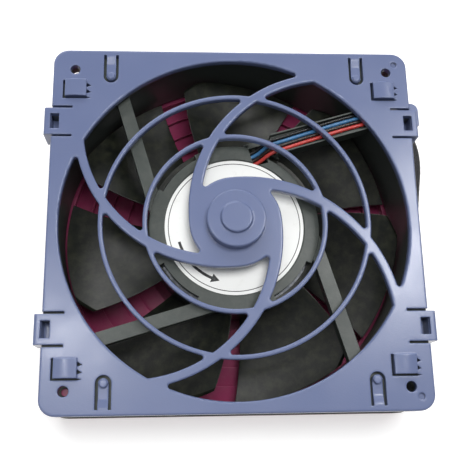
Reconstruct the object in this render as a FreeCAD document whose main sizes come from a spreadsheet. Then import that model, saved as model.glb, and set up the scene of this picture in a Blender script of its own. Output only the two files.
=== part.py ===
"""Server fan module: a 120 mm fan clipped between an exhaust guard and an inlet guard.

Frame: +Z is the way the air leaves. The origin is on the fan's axis, in the flat
face that the inlet guard rests on. Every length is in millimetres.
"""
import FreeCAD, Part
import math
import os

import Sketcher

Vector = FreeCAD.Vector
doc = FreeCAD.newDocument("ServerFanModule")

# --------------------------------------------------------------------------------------
# Driving dimensions: name, value, what it is
# --------------------------------------------------------------------------------------
SIZES = [
    ("module_width", 119.5, "side of the square guards and of the fan frame"),
    ("corner_radius", 5.0, "corner radius of the guards and the frame"),
    ("hole_inset", 7.25, "mounting hole centre to the edge"),
    ("inlet_depth", 6.0, "height of the inlet guard"),
    ("frame_depth", 25.4, "depth of the fan frame"),
    ("plate_thickness", 2.4, "thickness of the exhaust guard's plate"),
    # exhaust guard
    ("opening_margin", 3.55, "edge of the module to the guard's round opening"),
    ("guard_hole_diameter", 3.3, "mounting holes in the exhaust guard"),
    ("hub_plate_radius", 14.9, "disc in the middle of the finger guard"),
    ("swirl_outer_offset", 33.6, "axis to the centre of an arm's outer edge circle"),
    ("swirl_outer_angle", 6.5, "direction of that centre for the first arm, degrees"),
    ("swirl_inner_offset", 33.2, "axis to the centre of an arm's inner edge circle"),
    ("swirl_inner_angle", 9.9, "direction of that centre for the first arm, degrees"),
    ("swirl_inner_radius", 43.6, "radius of an arm's inner edge circle"),
    ("inner_ring_radius", 29.0, "middle line of the small finger ring"),
    ("outer_ring_radius", 43.05, "middle line of the large finger ring"),
    ("ring_width", 1.5, "width of a finger ring"),
    ("window_corner", 0.8, "corner radius of the guard's windows"),
    ("finger_rounding", 0.55, "rounding of the fingers' top edges"),
    ("boss_radius", 9.4, "wide step of the centre boss"),
    ("boss_height", 3.9, "height of the wide step"),
    ("boss_cap_radius", 5.0, "narrow step of the centre boss"),
    ("boss_cap_height", 1.3, "height of the narrow step over the wide one"),
    ("boss_wall", 1.6, "wall of the cored boss"),
    ("boss_rounding", 0.5, "rounding of the boss's steps"),
    ("slot_width", 0.9, "width of the moulded slots"),
    ("tongue_inset_left", 19.05, "left spring tongues to the left edge"),
    ("tongue_inset_right", 17.55, "right spring tongues to the right edge"),
    ("tongue_width", 3.1, "width of a spring tongue"),
    ("tongue_root_inset", 1.75, "root of a spring tongue to the edge"),
    ("tongue_length", 9.25, "root of a tongue to the centre of its round end"),
    ("tongue_bump_radius", 1.3, "round bump on a tongue's end"),
    ("tongue_bump_height", 0.5, "bump over the plate"),
    ("tongue_dip", 0.7, "hollow in a tongue between its root and the bump"),
    ("tongue_ramp", 3.2, "root of a tongue to the bottom of the hollow"),
    ("tongue_flat", 0.6, "flat between a tongue's root and its ramp"),
    ("pad_left", 4.15, "left edge to the left corner pads"),
    ("pad_right", 5.15, "right edge to the right corner pads"),
    ("pad_width", 7.0, "corner pads across"),
    ("pad_inset", 11.05, "top and bottom edges to the corner pads"),
    ("pad_depth", 6.0, "corner pads along the edge"),
    ("pad_height", 0.9, "edge of a corner pad over the plate"),
    ("pad_crown_radius", 14.0, "curve across a corner pad"),
    ("pad_side_slot", 0.8, "slot beside a corner pad"),
    ("pad_end_slot", 0.6, "slot under a corner pad"),
    ("notch_size", 1.5, "pointed notches beside a corner pad"),
    ("notch_pitch", 2.3, "notch to notch"),
    ("dimple_radius", 1.0, "dimple in the plate outside two of the holes"),
    ("dimple_depth", 0.7, "depth of a dimple"),
    ("dimple_inset", 4.3, "dimple to the edges"),
    ("ear_inset", 25.75, "clip ear centre to the end of its side"),
    ("ear_width", 9.3, "width of a clip ear"),
    ("ear_reach", 2.4, "clip ear past the edge of the plate"),
    ("ear_cut_length", 6.75, "flex cuts beside an ear, in from the edge"),
    ("ear_cut_width", 0.8, "width of the flex cuts"),
    ("ear_rounding", 0.9, "rounding of an ear's outer edge"),
    ("ear_leg_gap", 0.2, "clip leg to the side of the frame"),
    ("ear_hook_gap", 0.2, "clip hook to the underside of the flange"),
    ("ear_hook_reach", 1.5, "clip hook under the flange"),
    ("ear_hook_height", 3.0, "height of the clip hook"),
    ("ear_hook_face", 1.2, "upright face of the clip hook"),
    ("ear_window_width", 5.3, "window over a clip hook, along the edge"),
    ("ear_window_depth", 2.9, "window over a clip hook, across the edge"),
    ("ear_window_shift", 0.35, "window past the edge of the plate"),
    ("lug_reach", 0.9, "finger lug past the clip ear"),
    ("lug_rise", 3.2, "finger lug beyond the ear, along the edge"),
    ("lug_radius", 2.6, "round corner of the finger lug"),
    ("lug_height", 5.6, "height of the finger lug"),
    ("lug_recess", 1.6, "face of the ear down to the lug"),
    # fan frame
    ("duct_margin", 2.25, "edge of the module to the duct's bore"),
    ("duct_wall", 1.7, "wall of the duct between the flanges"),
    ("mouth_rounding", 2.0, "rounding of the duct's inlet edge"),
    ("flange_thickness", 4.0, "thickness of a frame flange"),
    ("frame_hole_diameter", 4.3, "mounting holes in the frame's flanges"),
    ("base_depth", 6.0, "exhaust face of the frame down to the motor base"),
    ("base_thickness", 1.5, "thickness of the motor base"),
    ("base_radius", 27.8, "outside of the motor base"),
    ("band_height", 0.5, "band around the label over the label's seat"),
    ("seat_clearance", 0.3, "edge of the label to the band"),
    ("base_notch_depth", 1.7, "notches in the edge of the motor base"),
    ("base_notch_start", 28.0, "direction in which the first notch starts, degrees"),
    ("base_notch_angle", 35.0, "angle that a notch covers, degrees"),
    ("strut_angle", 16.5, "direction of the lead channel strut, degrees"),
    ("strut_offset", 23.0, "axis to the middle of a strut"),
    ("strut_width", 4.5, "width of a strut"),
    ("strut_recess", 1.8, "exhaust face down to the top of a strut"),
    ("strut_height", 4.0, "height of a strut"),
    ("strut_start", 5.0, "start of a strut under the motor base, along it"),
    ("strut_root", 1.5, "end of a strut before the duct's radius, along it"),
    ("channel_offset", 22.4, "axis to the middle of the lead channel"),
    ("channel_width", 7.3, "width of the lead channel"),
    ("channel_start", 20.5, "start of the lead channel, along it"),
    ("channel_recess", 0.2, "exhaust face down to the top of the channel"),
    ("channel_wall", 0.5, "wall of the lead channel"),
    ("channel_floor", 2.0, "exhaust face down to the floor of the lead channel"),
    ("lead_slot_start", 4.0, "slot that the leads drop through, inside the duct's radius"),
    ("lead_slot_length", 8.0, "the same slot past the duct's radius"),
    ("lead_slot_depth", 8.0, "exhaust face down to the bottom of the slot"),
    ("bridge_reach", 2.2, "bridge from the motor base, past the channel's inner side"),
    ("label_radius", 22.8, "motor label"),
    ("label_thickness", 0.12, "thickness of the label"),
    # rotor
    ("blade_count", 7, "blades of the impeller"),
    ("blade_start", -11.5, "direction of the first blade, degrees"),
    ("tip_clearance", 1.3, "blade tip to the duct"),
    ("impeller_recess", 2.0, "inlet face of the frame up to the impeller"),
    ("crown_thickness", 1.8, "closed end of the impeller's hub"),
    ("hub_radius", 28.4, "outside of the impeller's hub"),
    ("hub_wall", 1.5, "wall of the impeller's hub"),
    ("hub_rounding", 2.0, "rounding of the hub's closed end"),
    ("hub_boss_radius", 6.0, "boss around the shaft bush"),
    ("hub_boss_gap", 0.6, "boss to the bearing tube"),
    ("rotor_gap", 0.8, "open end of the hub to the motor base"),
    ("blade_sweep", 9.0, "forward sweep of a blade's tip"),
    ("blade_middle_sweep", 2.25, "forward sweep half way out"),
    ("blade_root_depth", 4.4, "hub's outside to the root section of a blade"),
    ("blade_overrun", 3.0, "tip section of a blade beyond the tip, before trimming"),
    ("blade_middle_taper", 0.3, "edges of a blade drawn in, half way out"),
    ("blade_tip_taper", 0.9, "edges of a blade drawn in at the tip"),
    ("blade_spread", 22.0, "half of the angle that a blade covers, degrees"),
    ("blade_edge", 0.9, "thickness of a blade's edges"),
    ("blade_upper_radius", 100.0, "curve of a blade's pressure side"),
    ("blade_lower_radius", 88.0, "curve of a blade's suction side"),
    ("tip_relief", 6.0, "outer trailing corner of a blade cut away"),
    ("blade_lower_margin", 0.8, "closed end of the hub to a blade's leading edge"),
    ("blade_upper_margin", 0.8, "open end of the hub to a blade's trailing edge"),
    ("yoke_thickness", 1.2, "wall of the steel yoke"),
    ("magnet_thickness", 2.4, "wall of the ring magnet"),
    ("yoke_recess", 0.4, "open end of the hub to the yoke"),
    ("magnet_inset", 1.2, "closed end of the hub to the magnet"),
    ("air_gap", 0.5, "stator to magnet"),
    # motor
    ("tube_radius", 5.3, "outside of the bearing tube"),
    ("tube_gap", 1.7, "closed end of the hub to the bearing tube"),
    ("tube_shoulder", 0.6, "shoulder between the bearings"),
    ("bearing_inset", 0.5, "lower bearing inside the tube's end"),
    ("bearing_cover", 1.9, "upper bearing below the top of the motor base"),
    ("bearing_width", 4.0, "width of a bearing"),
    ("bearing_radius", 4.0, "outside of a bearing"),
    ("shaft_radius", 1.5, "shaft and bearing bore"),
    ("race_wall", 0.72, "wall of a bearing ring beside its groove"),
    ("ball_radius", 0.79, "bearing balls"),
    ("ball_count", 7, "balls in a bearing"),
    ("ball_clearance", 0.02, "ball to groove"),
    ("cage_wall", 0.4, "wall of a ball cage"),
    ("cage_width", 2.2, "width of a ball cage"),
    ("cage_clearance", 0.06, "ball to cage pocket"),
    ("bush_radius", 3.6, "outside of the shaft bush"),
    ("bush_cover", 0.6, "outer face of the hub to the bush and the shaft"),
    ("clip_gap", 0.1, "upper bearing to the retaining ring"),
    ("clip_thickness", 0.4, "retaining ring on the shaft"),
    ("clip_radius", 2.6, "outside of the retaining ring"),
    ("clip_mouth", 1.92, "opening of the retaining ring"),
    ("neck_depth", 0.3, "depth of the shaft's groove"),
    ("shaft_end", 0.5, "shaft past its groove"),
    ("shaft_chamfer", 0.2, "chamfer of the shaft's end"),
    ("washer_clearance", 0.1, "shaft to the preload washer"),
    ("washer_width", 1.3, "preload washer, from bore to edge"),
    ("washer_land", 0.4, "flat bands of the preload washer"),
    ("washer_thickness", 0.3, "sheet of the preload washer"),
    ("coil_gap", 1.5, "closed end of the hub to the coils"),
    ("coil_overhang", 1.4, "coil past the insulator"),
    ("insulator_thickness", 0.8, "end plates of the winding insulator"),
    ("component_room", 2.2, "circuit board to the coils"),
    ("board_gap", 0.3, "motor base to the circuit board"),
    ("board_thickness", 1.2, "circuit board"),
    ("board_clearance", 1.5, "circuit board to the yoke"),
    ("board_bore_gap", 0.2, "bearing tube to the circuit board"),
    ("component_gap", 0.8, "components to the coils"),
    ("sensor_inset", 4.0, "outside of the stator to the middle of the hall sensor"),
    ("sensor_length", 2.8, "hall sensor across the radius"),
    ("sensor_width", 1.8, "hall sensor along the radius"),
    ("sensor_reach", 0.6, "hall sensor past the top of the coils"),
    ("core_hub_radius", 9.0, "stator core around the bearing tube"),
    ("core_clearance", 0.05, "bearing tube to stator core"),
    ("tooth_width", 5.0, "stator tooth"),
    ("shoe_thickness", 2.6, "pole shoe"),
    ("slot_opening", 2.4, "gap between two pole shoes"),
    ("coil_thickness", 2.4, "winding beside a tooth"),
    ("coil_start_gap", 0.6, "hub of the core to a winding"),
    ("coil_end_gap", 0.2, "winding to the pole shoe"),
    ("coil_rounding", 1.0, "rounding of a winding"),
    ("insulator_inset", 0.3, "insulator inside the outline of the core"),
    # inlet guard
    ("guard_wall", 2.0, "walls of the inlet guard"),
    ("inlet_plate", 2.2, "plate of the inlet guard"),
    ("louvre_margin", 0.9, "radius of the duct to the end of the louvre rings"),
    ("louvre_first", 30.8, "inside of the first louvre ring"),
    ("louvre_overlap", 0.5, "louvre ring under the next one, seen from above"),
    ("louvre_thickness", 1.2, "thickness of a louvre ring, along the axis"),
    ("louvre_rise", 3.4, "rise of a louvre ring"),
    ("louvre_count", 4, "louvre rings"),
    ("rib_count", 8, "radial ribs under the louvre rings"),
    ("rib_width", 2.2, "width of a rib"),
    ("rib_height", 2.2, "height of a rib"),
    ("peg_fit", 0.15, "snap peg to the wall of its hole"),
    ("peg_barb", 0.45, "barb of a snap peg past its shank"),
    ("peg_barb_height", 1.6, "height of the barb"),
    ("peg_barb_gap", 0.1, "flange to the barb"),
    ("peg_barb_taper", 20.0, "taper of the barb, degrees"),
    ("peg_clearance", 0.4, "room around a barb"),
    ("pin_clearance", 0.3, "long pin to the wall of the exhaust guard's hole"),
    ("pin_taper", 0.5, "taper of a long pin, degrees"),
    ("pin_recess", 2.6, "exhaust face of the frame down to the end of a pin"),
    # leads and connector
    ("lead_diameter", 1.25, "insulated leads"),
    ("lead_hole_length", 5.0, "hole in the motor base that the leads come up through"),
    ("lead_hole_width", 6.4, "width of that hole"),
    ("lead_hole_offset", 21.1, "axis to the middle of that hole"),
    ("lead_hole_gap", 2.9, "hole to the start of the lead channel"),
    ("lead_step_margin", 0.3, "step out of the hole inside the channel's wall"),
    ("passage_height", 1.1, "height of the passage under the motor base"),
    ("passage_width", 6.1, "width of the passage"),
    ("passage_offset", 20.55, "axis to the middle of the passage"),
    ("sleeve_diameter", 4.5, "braided sleeve around the leads"),
    ("connector_side", 7.05, "middle of the connector to the frame's side"),
    ("connector_back", 13.75, "cable end of the connector to the frame's corner"),
    ("connector_lift", 5.5, "lower flange up to the connector"),
    ("connector_width", 10.0, "connector across its contacts"),
    ("connector_length", 13.0, "connector along its contacts"),
    ("connector_height", 6.0, "height of the connector"),
    ("key_width", 3.2, "key on top of the connector"),
    ("key_height", 0.9, "height of the key"),
    ("key_inset", 3.0, "cable end of the connector to the key"),
    ("contact_count", 4, "contacts of the connector, one for each lead"),
    ("contact_pitch", 2.2, "contact to contact"),
    ("contact_hole", 1.3, "side of a contact hole"),
    ("contact_depth", 9.0, "depth of a contact hole"),
    ("contact_size", 0.8, "side of a contact"),
    ("contact_recess", 1.0, "mouth of a contact hole to the contact"),
    ("cradle_wall", 1.2, "walls of the connector cradle"),
    ("cradle_inset", 2.0, "ends of the connector to the cradle"),
    ("cradle_height", 4.2, "walls of the cradle beside the connector"),
]


class Size:
    """A number together with the spreadsheet expression that gives it."""

    def __init__(self, text, value):
        self.text = text
        self.value = float(value)

    def __add__(self, other):
        return combine(self, "+", other, self.value + float(other))

    def __radd__(self, other):
        return combine(other, "+", self, float(other) + self.value)

    def __sub__(self, other):
        return combine(self, "-", other, self.value - float(other))

    def __rsub__(self, other):
        return combine(other, "-", self, float(other) - self.value)

    def __mul__(self, other):
        return combine(self, "*", other, self.value * float(other))

    def __rmul__(self, other):
        return combine(other, "*", self, float(other) * self.value)

    def __truediv__(self, other):
        return combine(self, "/", other, self.value / float(other))

    def __neg__(self):
        return Size(f"(-{self.text})", -self.value)

    def __float__(self):
        return self.value


NOTHING = Size("0", 0.0)


def combine(left, sign, right, value):
    """Two terms joined into one expression."""
    texts = [term.text if isinstance(term, Size) else repr(float(term)) for term in (left, right)]
    return Size(f"({texts[0]} {sign} {texts[1]})", value)


def cosine(angle):
    """Cosine of a size in degrees."""
    return Size(f"cos({angle.text} * 1 deg)", math.cos(math.radians(angle.value)))


def root(amount):
    """Square root of a size."""
    return Size(f"sqrt({amount.text})", math.sqrt(amount.value))


def sine(angle):
    """Sine of a size in degrees."""
    return Size(f"sin({angle.text} * 1 deg)", math.sin(math.radians(angle.value)))


class Namespace:
    """Sizes by name."""


sheet = doc.addObject("Spreadsheet::Sheet", "Sizes")
size = Namespace()
for row, (name, value, meaning) in enumerate(SIZES, start=1):
    sheet.set(f"A{row}", meaning)
    sheet.set(f"B{row}", str(value))
    sheet.setAlias(f"B{row}", name)
    setattr(size, name, Size(f"Sizes.{name}", value))
doc.recompute()

# --------------------------------------------------------------------------------------
# Levels and radii that follow from the sizes
# --------------------------------------------------------------------------------------
half_width = size.module_width / 2
hole_offset = half_width - size.hole_inset
frame_bottom = size.inlet_depth
frame_top = frame_bottom + size.frame_depth
plate_top = frame_top + size.plate_thickness
opening_radius = half_width - size.opening_margin
duct_radius = half_width - size.duct_margin
tip_radius = duct_radius - size.tip_clearance
ear_centre = half_width - size.ear_inset
louvre_end = duct_radius - size.louvre_margin
louvre_pitch = (louvre_end - size.louvre_first) / size.louvre_count
peg_radius = size.frame_hole_diameter / 2 - size.peg_fit
pin_radius = size.guard_hole_diameter / 2 - size.pin_clearance

crown_bottom = frame_bottom + size.impeller_recess
crown_top = crown_bottom + size.crown_thickness
base_bottom = frame_top - size.base_depth
base_top = base_bottom + size.base_thickness
band_top = base_top + size.band_height
channel_top = frame_top - size.channel_recess
skirt_top = base_bottom - size.rotor_gap
board_top = base_bottom - size.board_gap
board_bottom = board_top - size.board_thickness
coil_top = board_bottom - size.component_room
coil_bottom = crown_top + size.coil_gap
core_top = coil_top - size.coil_overhang - size.insulator_thickness
core_bottom = coil_bottom + size.coil_overhang + size.insulator_thickness
tube_bottom = crown_top + size.tube_gap
lower_bearing_bottom = tube_bottom + size.bearing_inset
upper_bearing_bottom = base_top - size.bearing_cover - size.bearing_width
boss_top = tube_bottom - size.hub_boss_gap
hub_bore = size.hub_radius - size.hub_wall
yoke_bore = hub_bore - size.yoke_thickness
board_radius = yoke_bore - size.board_clearance
magnet_bore = yoke_bore - size.magnet_thickness
stator_radius = magnet_bore - size.air_gap
ball_pitch_radius = (size.shaft_radius + size.bearing_radius) / 2
channel_low = size.channel_offset - size.channel_width / 2
channel_high = size.channel_offset + size.channel_width / 2
lead_level = frame_top - size.channel_floor + size.lead_diameter / 2

XY, XZ, YZ = "XY_Plane", "XZ_Plane", "YZ_Plane"
Z_AXIS = "Z_Axis"
ORIGIN = (-1, 1)
HORIZONTAL, VERTICAL = -1, -2


# --------------------------------------------------------------------------------------
# Drawing and feature helpers
# --------------------------------------------------------------------------------------
def new_body(label):
    """An empty body whose label names its node."""
    body = doc.addObject("PartDesign::Body", label)
    body.Label = label
    return body


def datum(body, role):
    """One of a body's own origin planes or axes."""
    return next(item for item in body.Origin.OriginFeatures if item.Role == role)


def bind(item, field, amount):
    """Tie a property to the sheet, or set a plain number."""
    if isinstance(amount, Size):
        item.setExpression(field, amount.text)
    else:
        setattr(item, field, amount)


class Drawing:
    """A constrained sketch on one of a body's origin planes, turned about Z in degrees."""

    def __init__(self, body, role, height=None, turn=0.0):
        self.sketch = body.newObject("Sketcher::SketchObject", f"{body.Name}_sketch")
        self.sketch.AttachmentSupport = (datum(body, role), [""])
        self.sketch.MapMode = "FlatFace"
        spindle = Vector(0, 0, 1) if role == XY else Vector(0, 1, 0)
        self.sketch.AttachmentOffset = FreeCAD.Placement(
            Vector(0, 0, float(height or 0)), FreeCAD.Rotation(spindle, turn))
        if isinstance(height, Size):
            self.sketch.setExpression("AttachmentOffset.Base.z", height.text)

    def measure(self, kind, *where, amount):
        """A dimension that follows the sheet."""
        index = self.sketch.addConstraint(Sketcher.Constraint(kind, *where, float(amount)))
        if isinstance(amount, Size):
            self.sketch.setExpression(f"Constraints[{index}]", amount.text)

    def place(self, piece, end, x, y):
        """Fix a point at (x, y)."""
        if float(x) == 0 and float(y) == 0:
            self.sketch.addConstraint(Sketcher.Constraint("Coincident", piece, end, *ORIGIN))
            return
        if float(x) == 0:
            self.sketch.addConstraint(Sketcher.Constraint("PointOnObject", piece, end, VERTICAL))
        else:
            self.measure("DistanceX", *ORIGIN, piece, end, amount=x)
        if float(y) == 0:
            self.sketch.addConstraint(Sketcher.Constraint("PointOnObject", piece, end, HORIZONTAL))
        else:
            self.measure("DistanceY", *ORIGIN, piece, end, amount=y)

    def join(self, first, first_end, second, second_end):
        """Two ends in one point."""
        self.sketch.addConstraint(
            Sketcher.Constraint("Coincident", first, first_end, second, second_end))

    def circle(self, x, y, radius):
        """A full circle."""
        centre = Vector(float(x), float(y), 0)
        piece = self.sketch.addGeometry(Part.Circle(centre, Vector(0, 0, 1), float(radius)))
        self.place(piece, 3, x, y)
        self.measure("Radius", piece, amount=radius)

    def polygon(self, corners):
        """A closed outline of straight lines."""
        flat = [Vector(float(x), float(y), 0) for x, y in corners]
        lines = [self.sketch.addGeometry(Part.LineSegment(start, end))
                 for start, end in zip(flat, flat[1:] + flat[:1])]
        for number, line in enumerate(lines):
            self.join(line, 2, lines[(number + 1) % len(lines)], 1)
            self.place(line, 1, *corners[number])

    def box(self, x_low, x_high, y_low, y_high):
        """An upright rectangle."""
        self.polygon([(x_low, y_low), (x_high, y_low), (x_high, y_high), (x_low, y_high)])

    def outline(self, corners, sides):
        """A closed outline of arcs and lines.

        The side after each corner is None for a line, (x, y, radius) for the short arc
        about a centre, or (radius, turn) for an arc that bends left (1) or right (-1).
        Corners in plain numbers are left to the circles that meet there.
        """
        flat = [Vector(float(x), float(y), 0) for x, y in corners]
        made = []
        for start, end, side in zip(flat, flat[1:] + flat[:1], sides):
            if side is None:
                made.append((self.sketch.addGeometry(Part.LineSegment(start, end)), 1, 2))
                continue
            if len(side) == 3:
                centre = Vector(float(side[0]), float(side[1]), 0)
                radius = side[2]
            else:
                radius = side[0]
                chord = end - start
                rise = math.sqrt(float(radius) ** 2 - chord.Length ** 2 / 4)
                across = Vector(-chord.y, chord.x, 0).normalize()
                centre = (start + end) / 2 + across * rise * side[1]
            first = math.atan2(start.y - centre.y, start.x - centre.x)
            second = math.atan2(end.y - centre.y, end.x - centre.x)
            forward = (second - first) % (2 * math.pi) < math.pi
            low, high = (first, second) if forward else (second, first)
            circle = Part.Circle(centre, Vector(0, 0, 1), float(radius))
            arc = self.sketch.addGeometry(Part.ArcOfCircle(circle, low, high))
            made.append((arc, 1, 2) if forward else (arc, 2, 1))
        for number, (piece, head, tail) in enumerate(made):
            following, next_head, _ = made[(number + 1) % len(made)]
            self.join(piece, tail, following, next_head)
            side = sides[number]
            if side is not None and len(side) == 3:
                self.place(piece, 3, side[0], side[1])
            if side is not None:
                self.measure("Radius", piece, amount=side[-1] if len(side) == 3 else side[0])
            if isinstance(corners[number][0], Size):
                self.place(piece, head, *corners[number])


def pad(body, drawing, length, down=False):
    """Material from a drawing, upwards unless down."""
    feature = body.newObject("PartDesign::Pad", f"{body.Name}_pad")
    feature.Profile = (drawing.sketch, [""])
    bind(feature, "Length", length)
    feature.Reversed = down
    return feature


def pocket(body, drawing, depth, up=False):
    """A cut from a drawing, downwards unless up."""
    feature = body.newObject("PartDesign::Pocket", f"{body.Name}_pocket")
    feature.Profile = (drawing.sketch, [""])
    bind(feature, "Length", depth)
    feature.Reversed = up
    return feature


def revolve(body, drawing, cut=False, angle=360.0):
    """A turned form about the drawing's vertical axis, or a turned cut."""
    kind = "Groove" if cut else "Revolution"
    feature = body.newObject(f"PartDesign::{kind}", f"{body.Name}_{kind.lower()}")
    feature.Profile = (drawing.sketch, [""])
    feature.ReferenceAxis = (drawing.sketch, ["V_Axis"])
    bind(feature, "Angle", angle)
    return feature


def around(body, features, count):
    """Copies of features all round the Z axis."""
    feature = body.newObject("PartDesign::PolarPattern", f"{body.Name}_pattern")
    feature.Originals = features
    feature.Axis = (datum(body, Z_AXIS), [""])
    feature.Angle = 360
    bind(feature, "Occurrences", count)
    body.Tip = feature
    return feature


def mirror(body, features, role):
    """The same features across an origin plane."""
    feature = body.newObject("PartDesign::Mirrored", f"{body.Name}_mirror")
    feature.Originals = features
    feature.MirrorPlane = (datum(body, role), [""])
    body.Tip = feature
    return feature


def round_edges(body, radius, wanted):
    """A fillet on every edge of the tip that wanted accepts."""
    doc.recompute()
    base = body.Tip
    names = [f"Edge{number}" for number, edge in enumerate(base.Shape.Edges, start=1)
             if wanted(edge)]
    feature = body.newObject("PartDesign::Fillet", f"{body.Name}_fillet")
    feature.Base = (base, names)
    bind(feature, "Radius", radius)
    return feature


def turned(label, corners):
    """A body that is one closed outline, in radius and height, turned about Z."""
    body = new_body(label)
    drawing = Drawing(body, XZ)
    drawing.polygon(corners)
    revolve(body, drawing)
    return body


def ring_profile(inner, outer, low, high):
    """The section of a plain ring."""
    return [(inner, low), (outer, low), (outer, high), (inner, high)]


def level(edge, height):
    """Whether an edge lies flat at a height."""
    box = edge.BoundBox
    return abs(box.ZMin - float(height)) < 1e-4 and abs(box.ZMax - float(height)) < 1e-4


def upright(edge):
    """Whether an edge is a straight line along Z."""
    box = edge.BoundBox
    return box.XLength < 1e-4 and box.YLength < 1e-4


def reach(edge):
    """Distance of an edge's middle from the axis."""
    middle = edge.valueAt((edge.FirstParameter + edge.LastParameter) / 2)
    return math.hypot(middle.x, middle.y)


def reach_x(edge):
    """Distance of an edge's middle from the YZ plane."""
    box = edge.BoundBox
    return abs(box.XMin + box.XMax) / 2


def square_block(body, low, height):
    """A square plate or block about the axis with round upright corners."""
    drawing = Drawing(body, XY, low)
    drawing.box(-half_width, half_width, -half_width, half_width)
    pad(body, drawing, height)
    corner = float(half_width) * math.sqrt(2)
    round_edges(body, size.corner_radius, lambda edge: upright(edge) and reach(edge) > corner - 1)


def polar(radius, angle):
    """A plain point from a radius and an angle in degrees."""
    return (radius * math.cos(math.radians(angle)), radius * math.sin(math.radians(angle)))


# --------------------------------------------------------------------------------------
# Exhaust guard: square plate, swirl finger guard, boss, spring tongues, pads, clip ears
# --------------------------------------------------------------------------------------
swirl_outer_radius = size.swirl_outer_offset + size.hub_plate_radius


def arm_angle(offset, angle, edge_radius, radius):
    """Direction in which the first arm's edge circle crosses a radius about the axis."""
    gap, edge, ring = float(offset), float(edge_radius), float(radius)
    turn = (ring ** 2 + gap ** 2 - edge ** 2) / (2 * ring * gap)
    return float(angle) + math.degrees(math.acos(max(-1.0, turn)))


def finger_window(drawing, low, high):
    """One window between two arms and two rings about the axis."""
    inner_x = size.swirl_inner_offset * cosine(size.swirl_inner_angle)
    inner_y = size.swirl_inner_offset * sine(size.swirl_inner_angle)
    inner_edge = (inner_x, inner_y, size.swirl_inner_radius)
    outer_x = size.swirl_outer_offset * sine(size.swirl_outer_angle)
    outer_y = -(size.swirl_outer_offset * cosine(size.swirl_outer_angle))
    outer_edge = (outer_x, outer_y, swirl_outer_radius)
    corners = []
    for radius in (low, high):
        inner = arm_angle(size.swirl_inner_offset, size.swirl_inner_angle,
                          size.swirl_inner_radius, radius)
        outer = arm_angle(size.swirl_outer_offset, size.swirl_outer_angle,
                          swirl_outer_radius, radius) - 90
        corners.append([polar(float(radius), inner), polar(float(radius), outer)])
    (low_inner, low_outer), (high_inner, high_outer) = corners
    drawing.outline([low_inner, low_outer, high_outer, high_inner],
                    [(0, 0, low), outer_edge, (0, 0, high), inner_edge])


def tongue_slot(drawing, x):
    """The U-shaped slot that frees a spring tongue."""
    root = half_width - size.tongue_root_inset
    tip = root - size.tongue_length + size.tongue_width / 2
    small = size.tongue_width / 2
    large = small + size.slot_width
    drawing.outline(
        [(x - large, root), (x - large, tip), (x, tip - large), (x + large, tip),
         (x + large, root), (x + small, root), (x + small, tip), (x, tip - small),
         (x - small, tip), (x - small, root)],
        [None, (large, 1), (large, 1), None, None, None, (small, -1), (small, -1), None, None])


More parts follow.
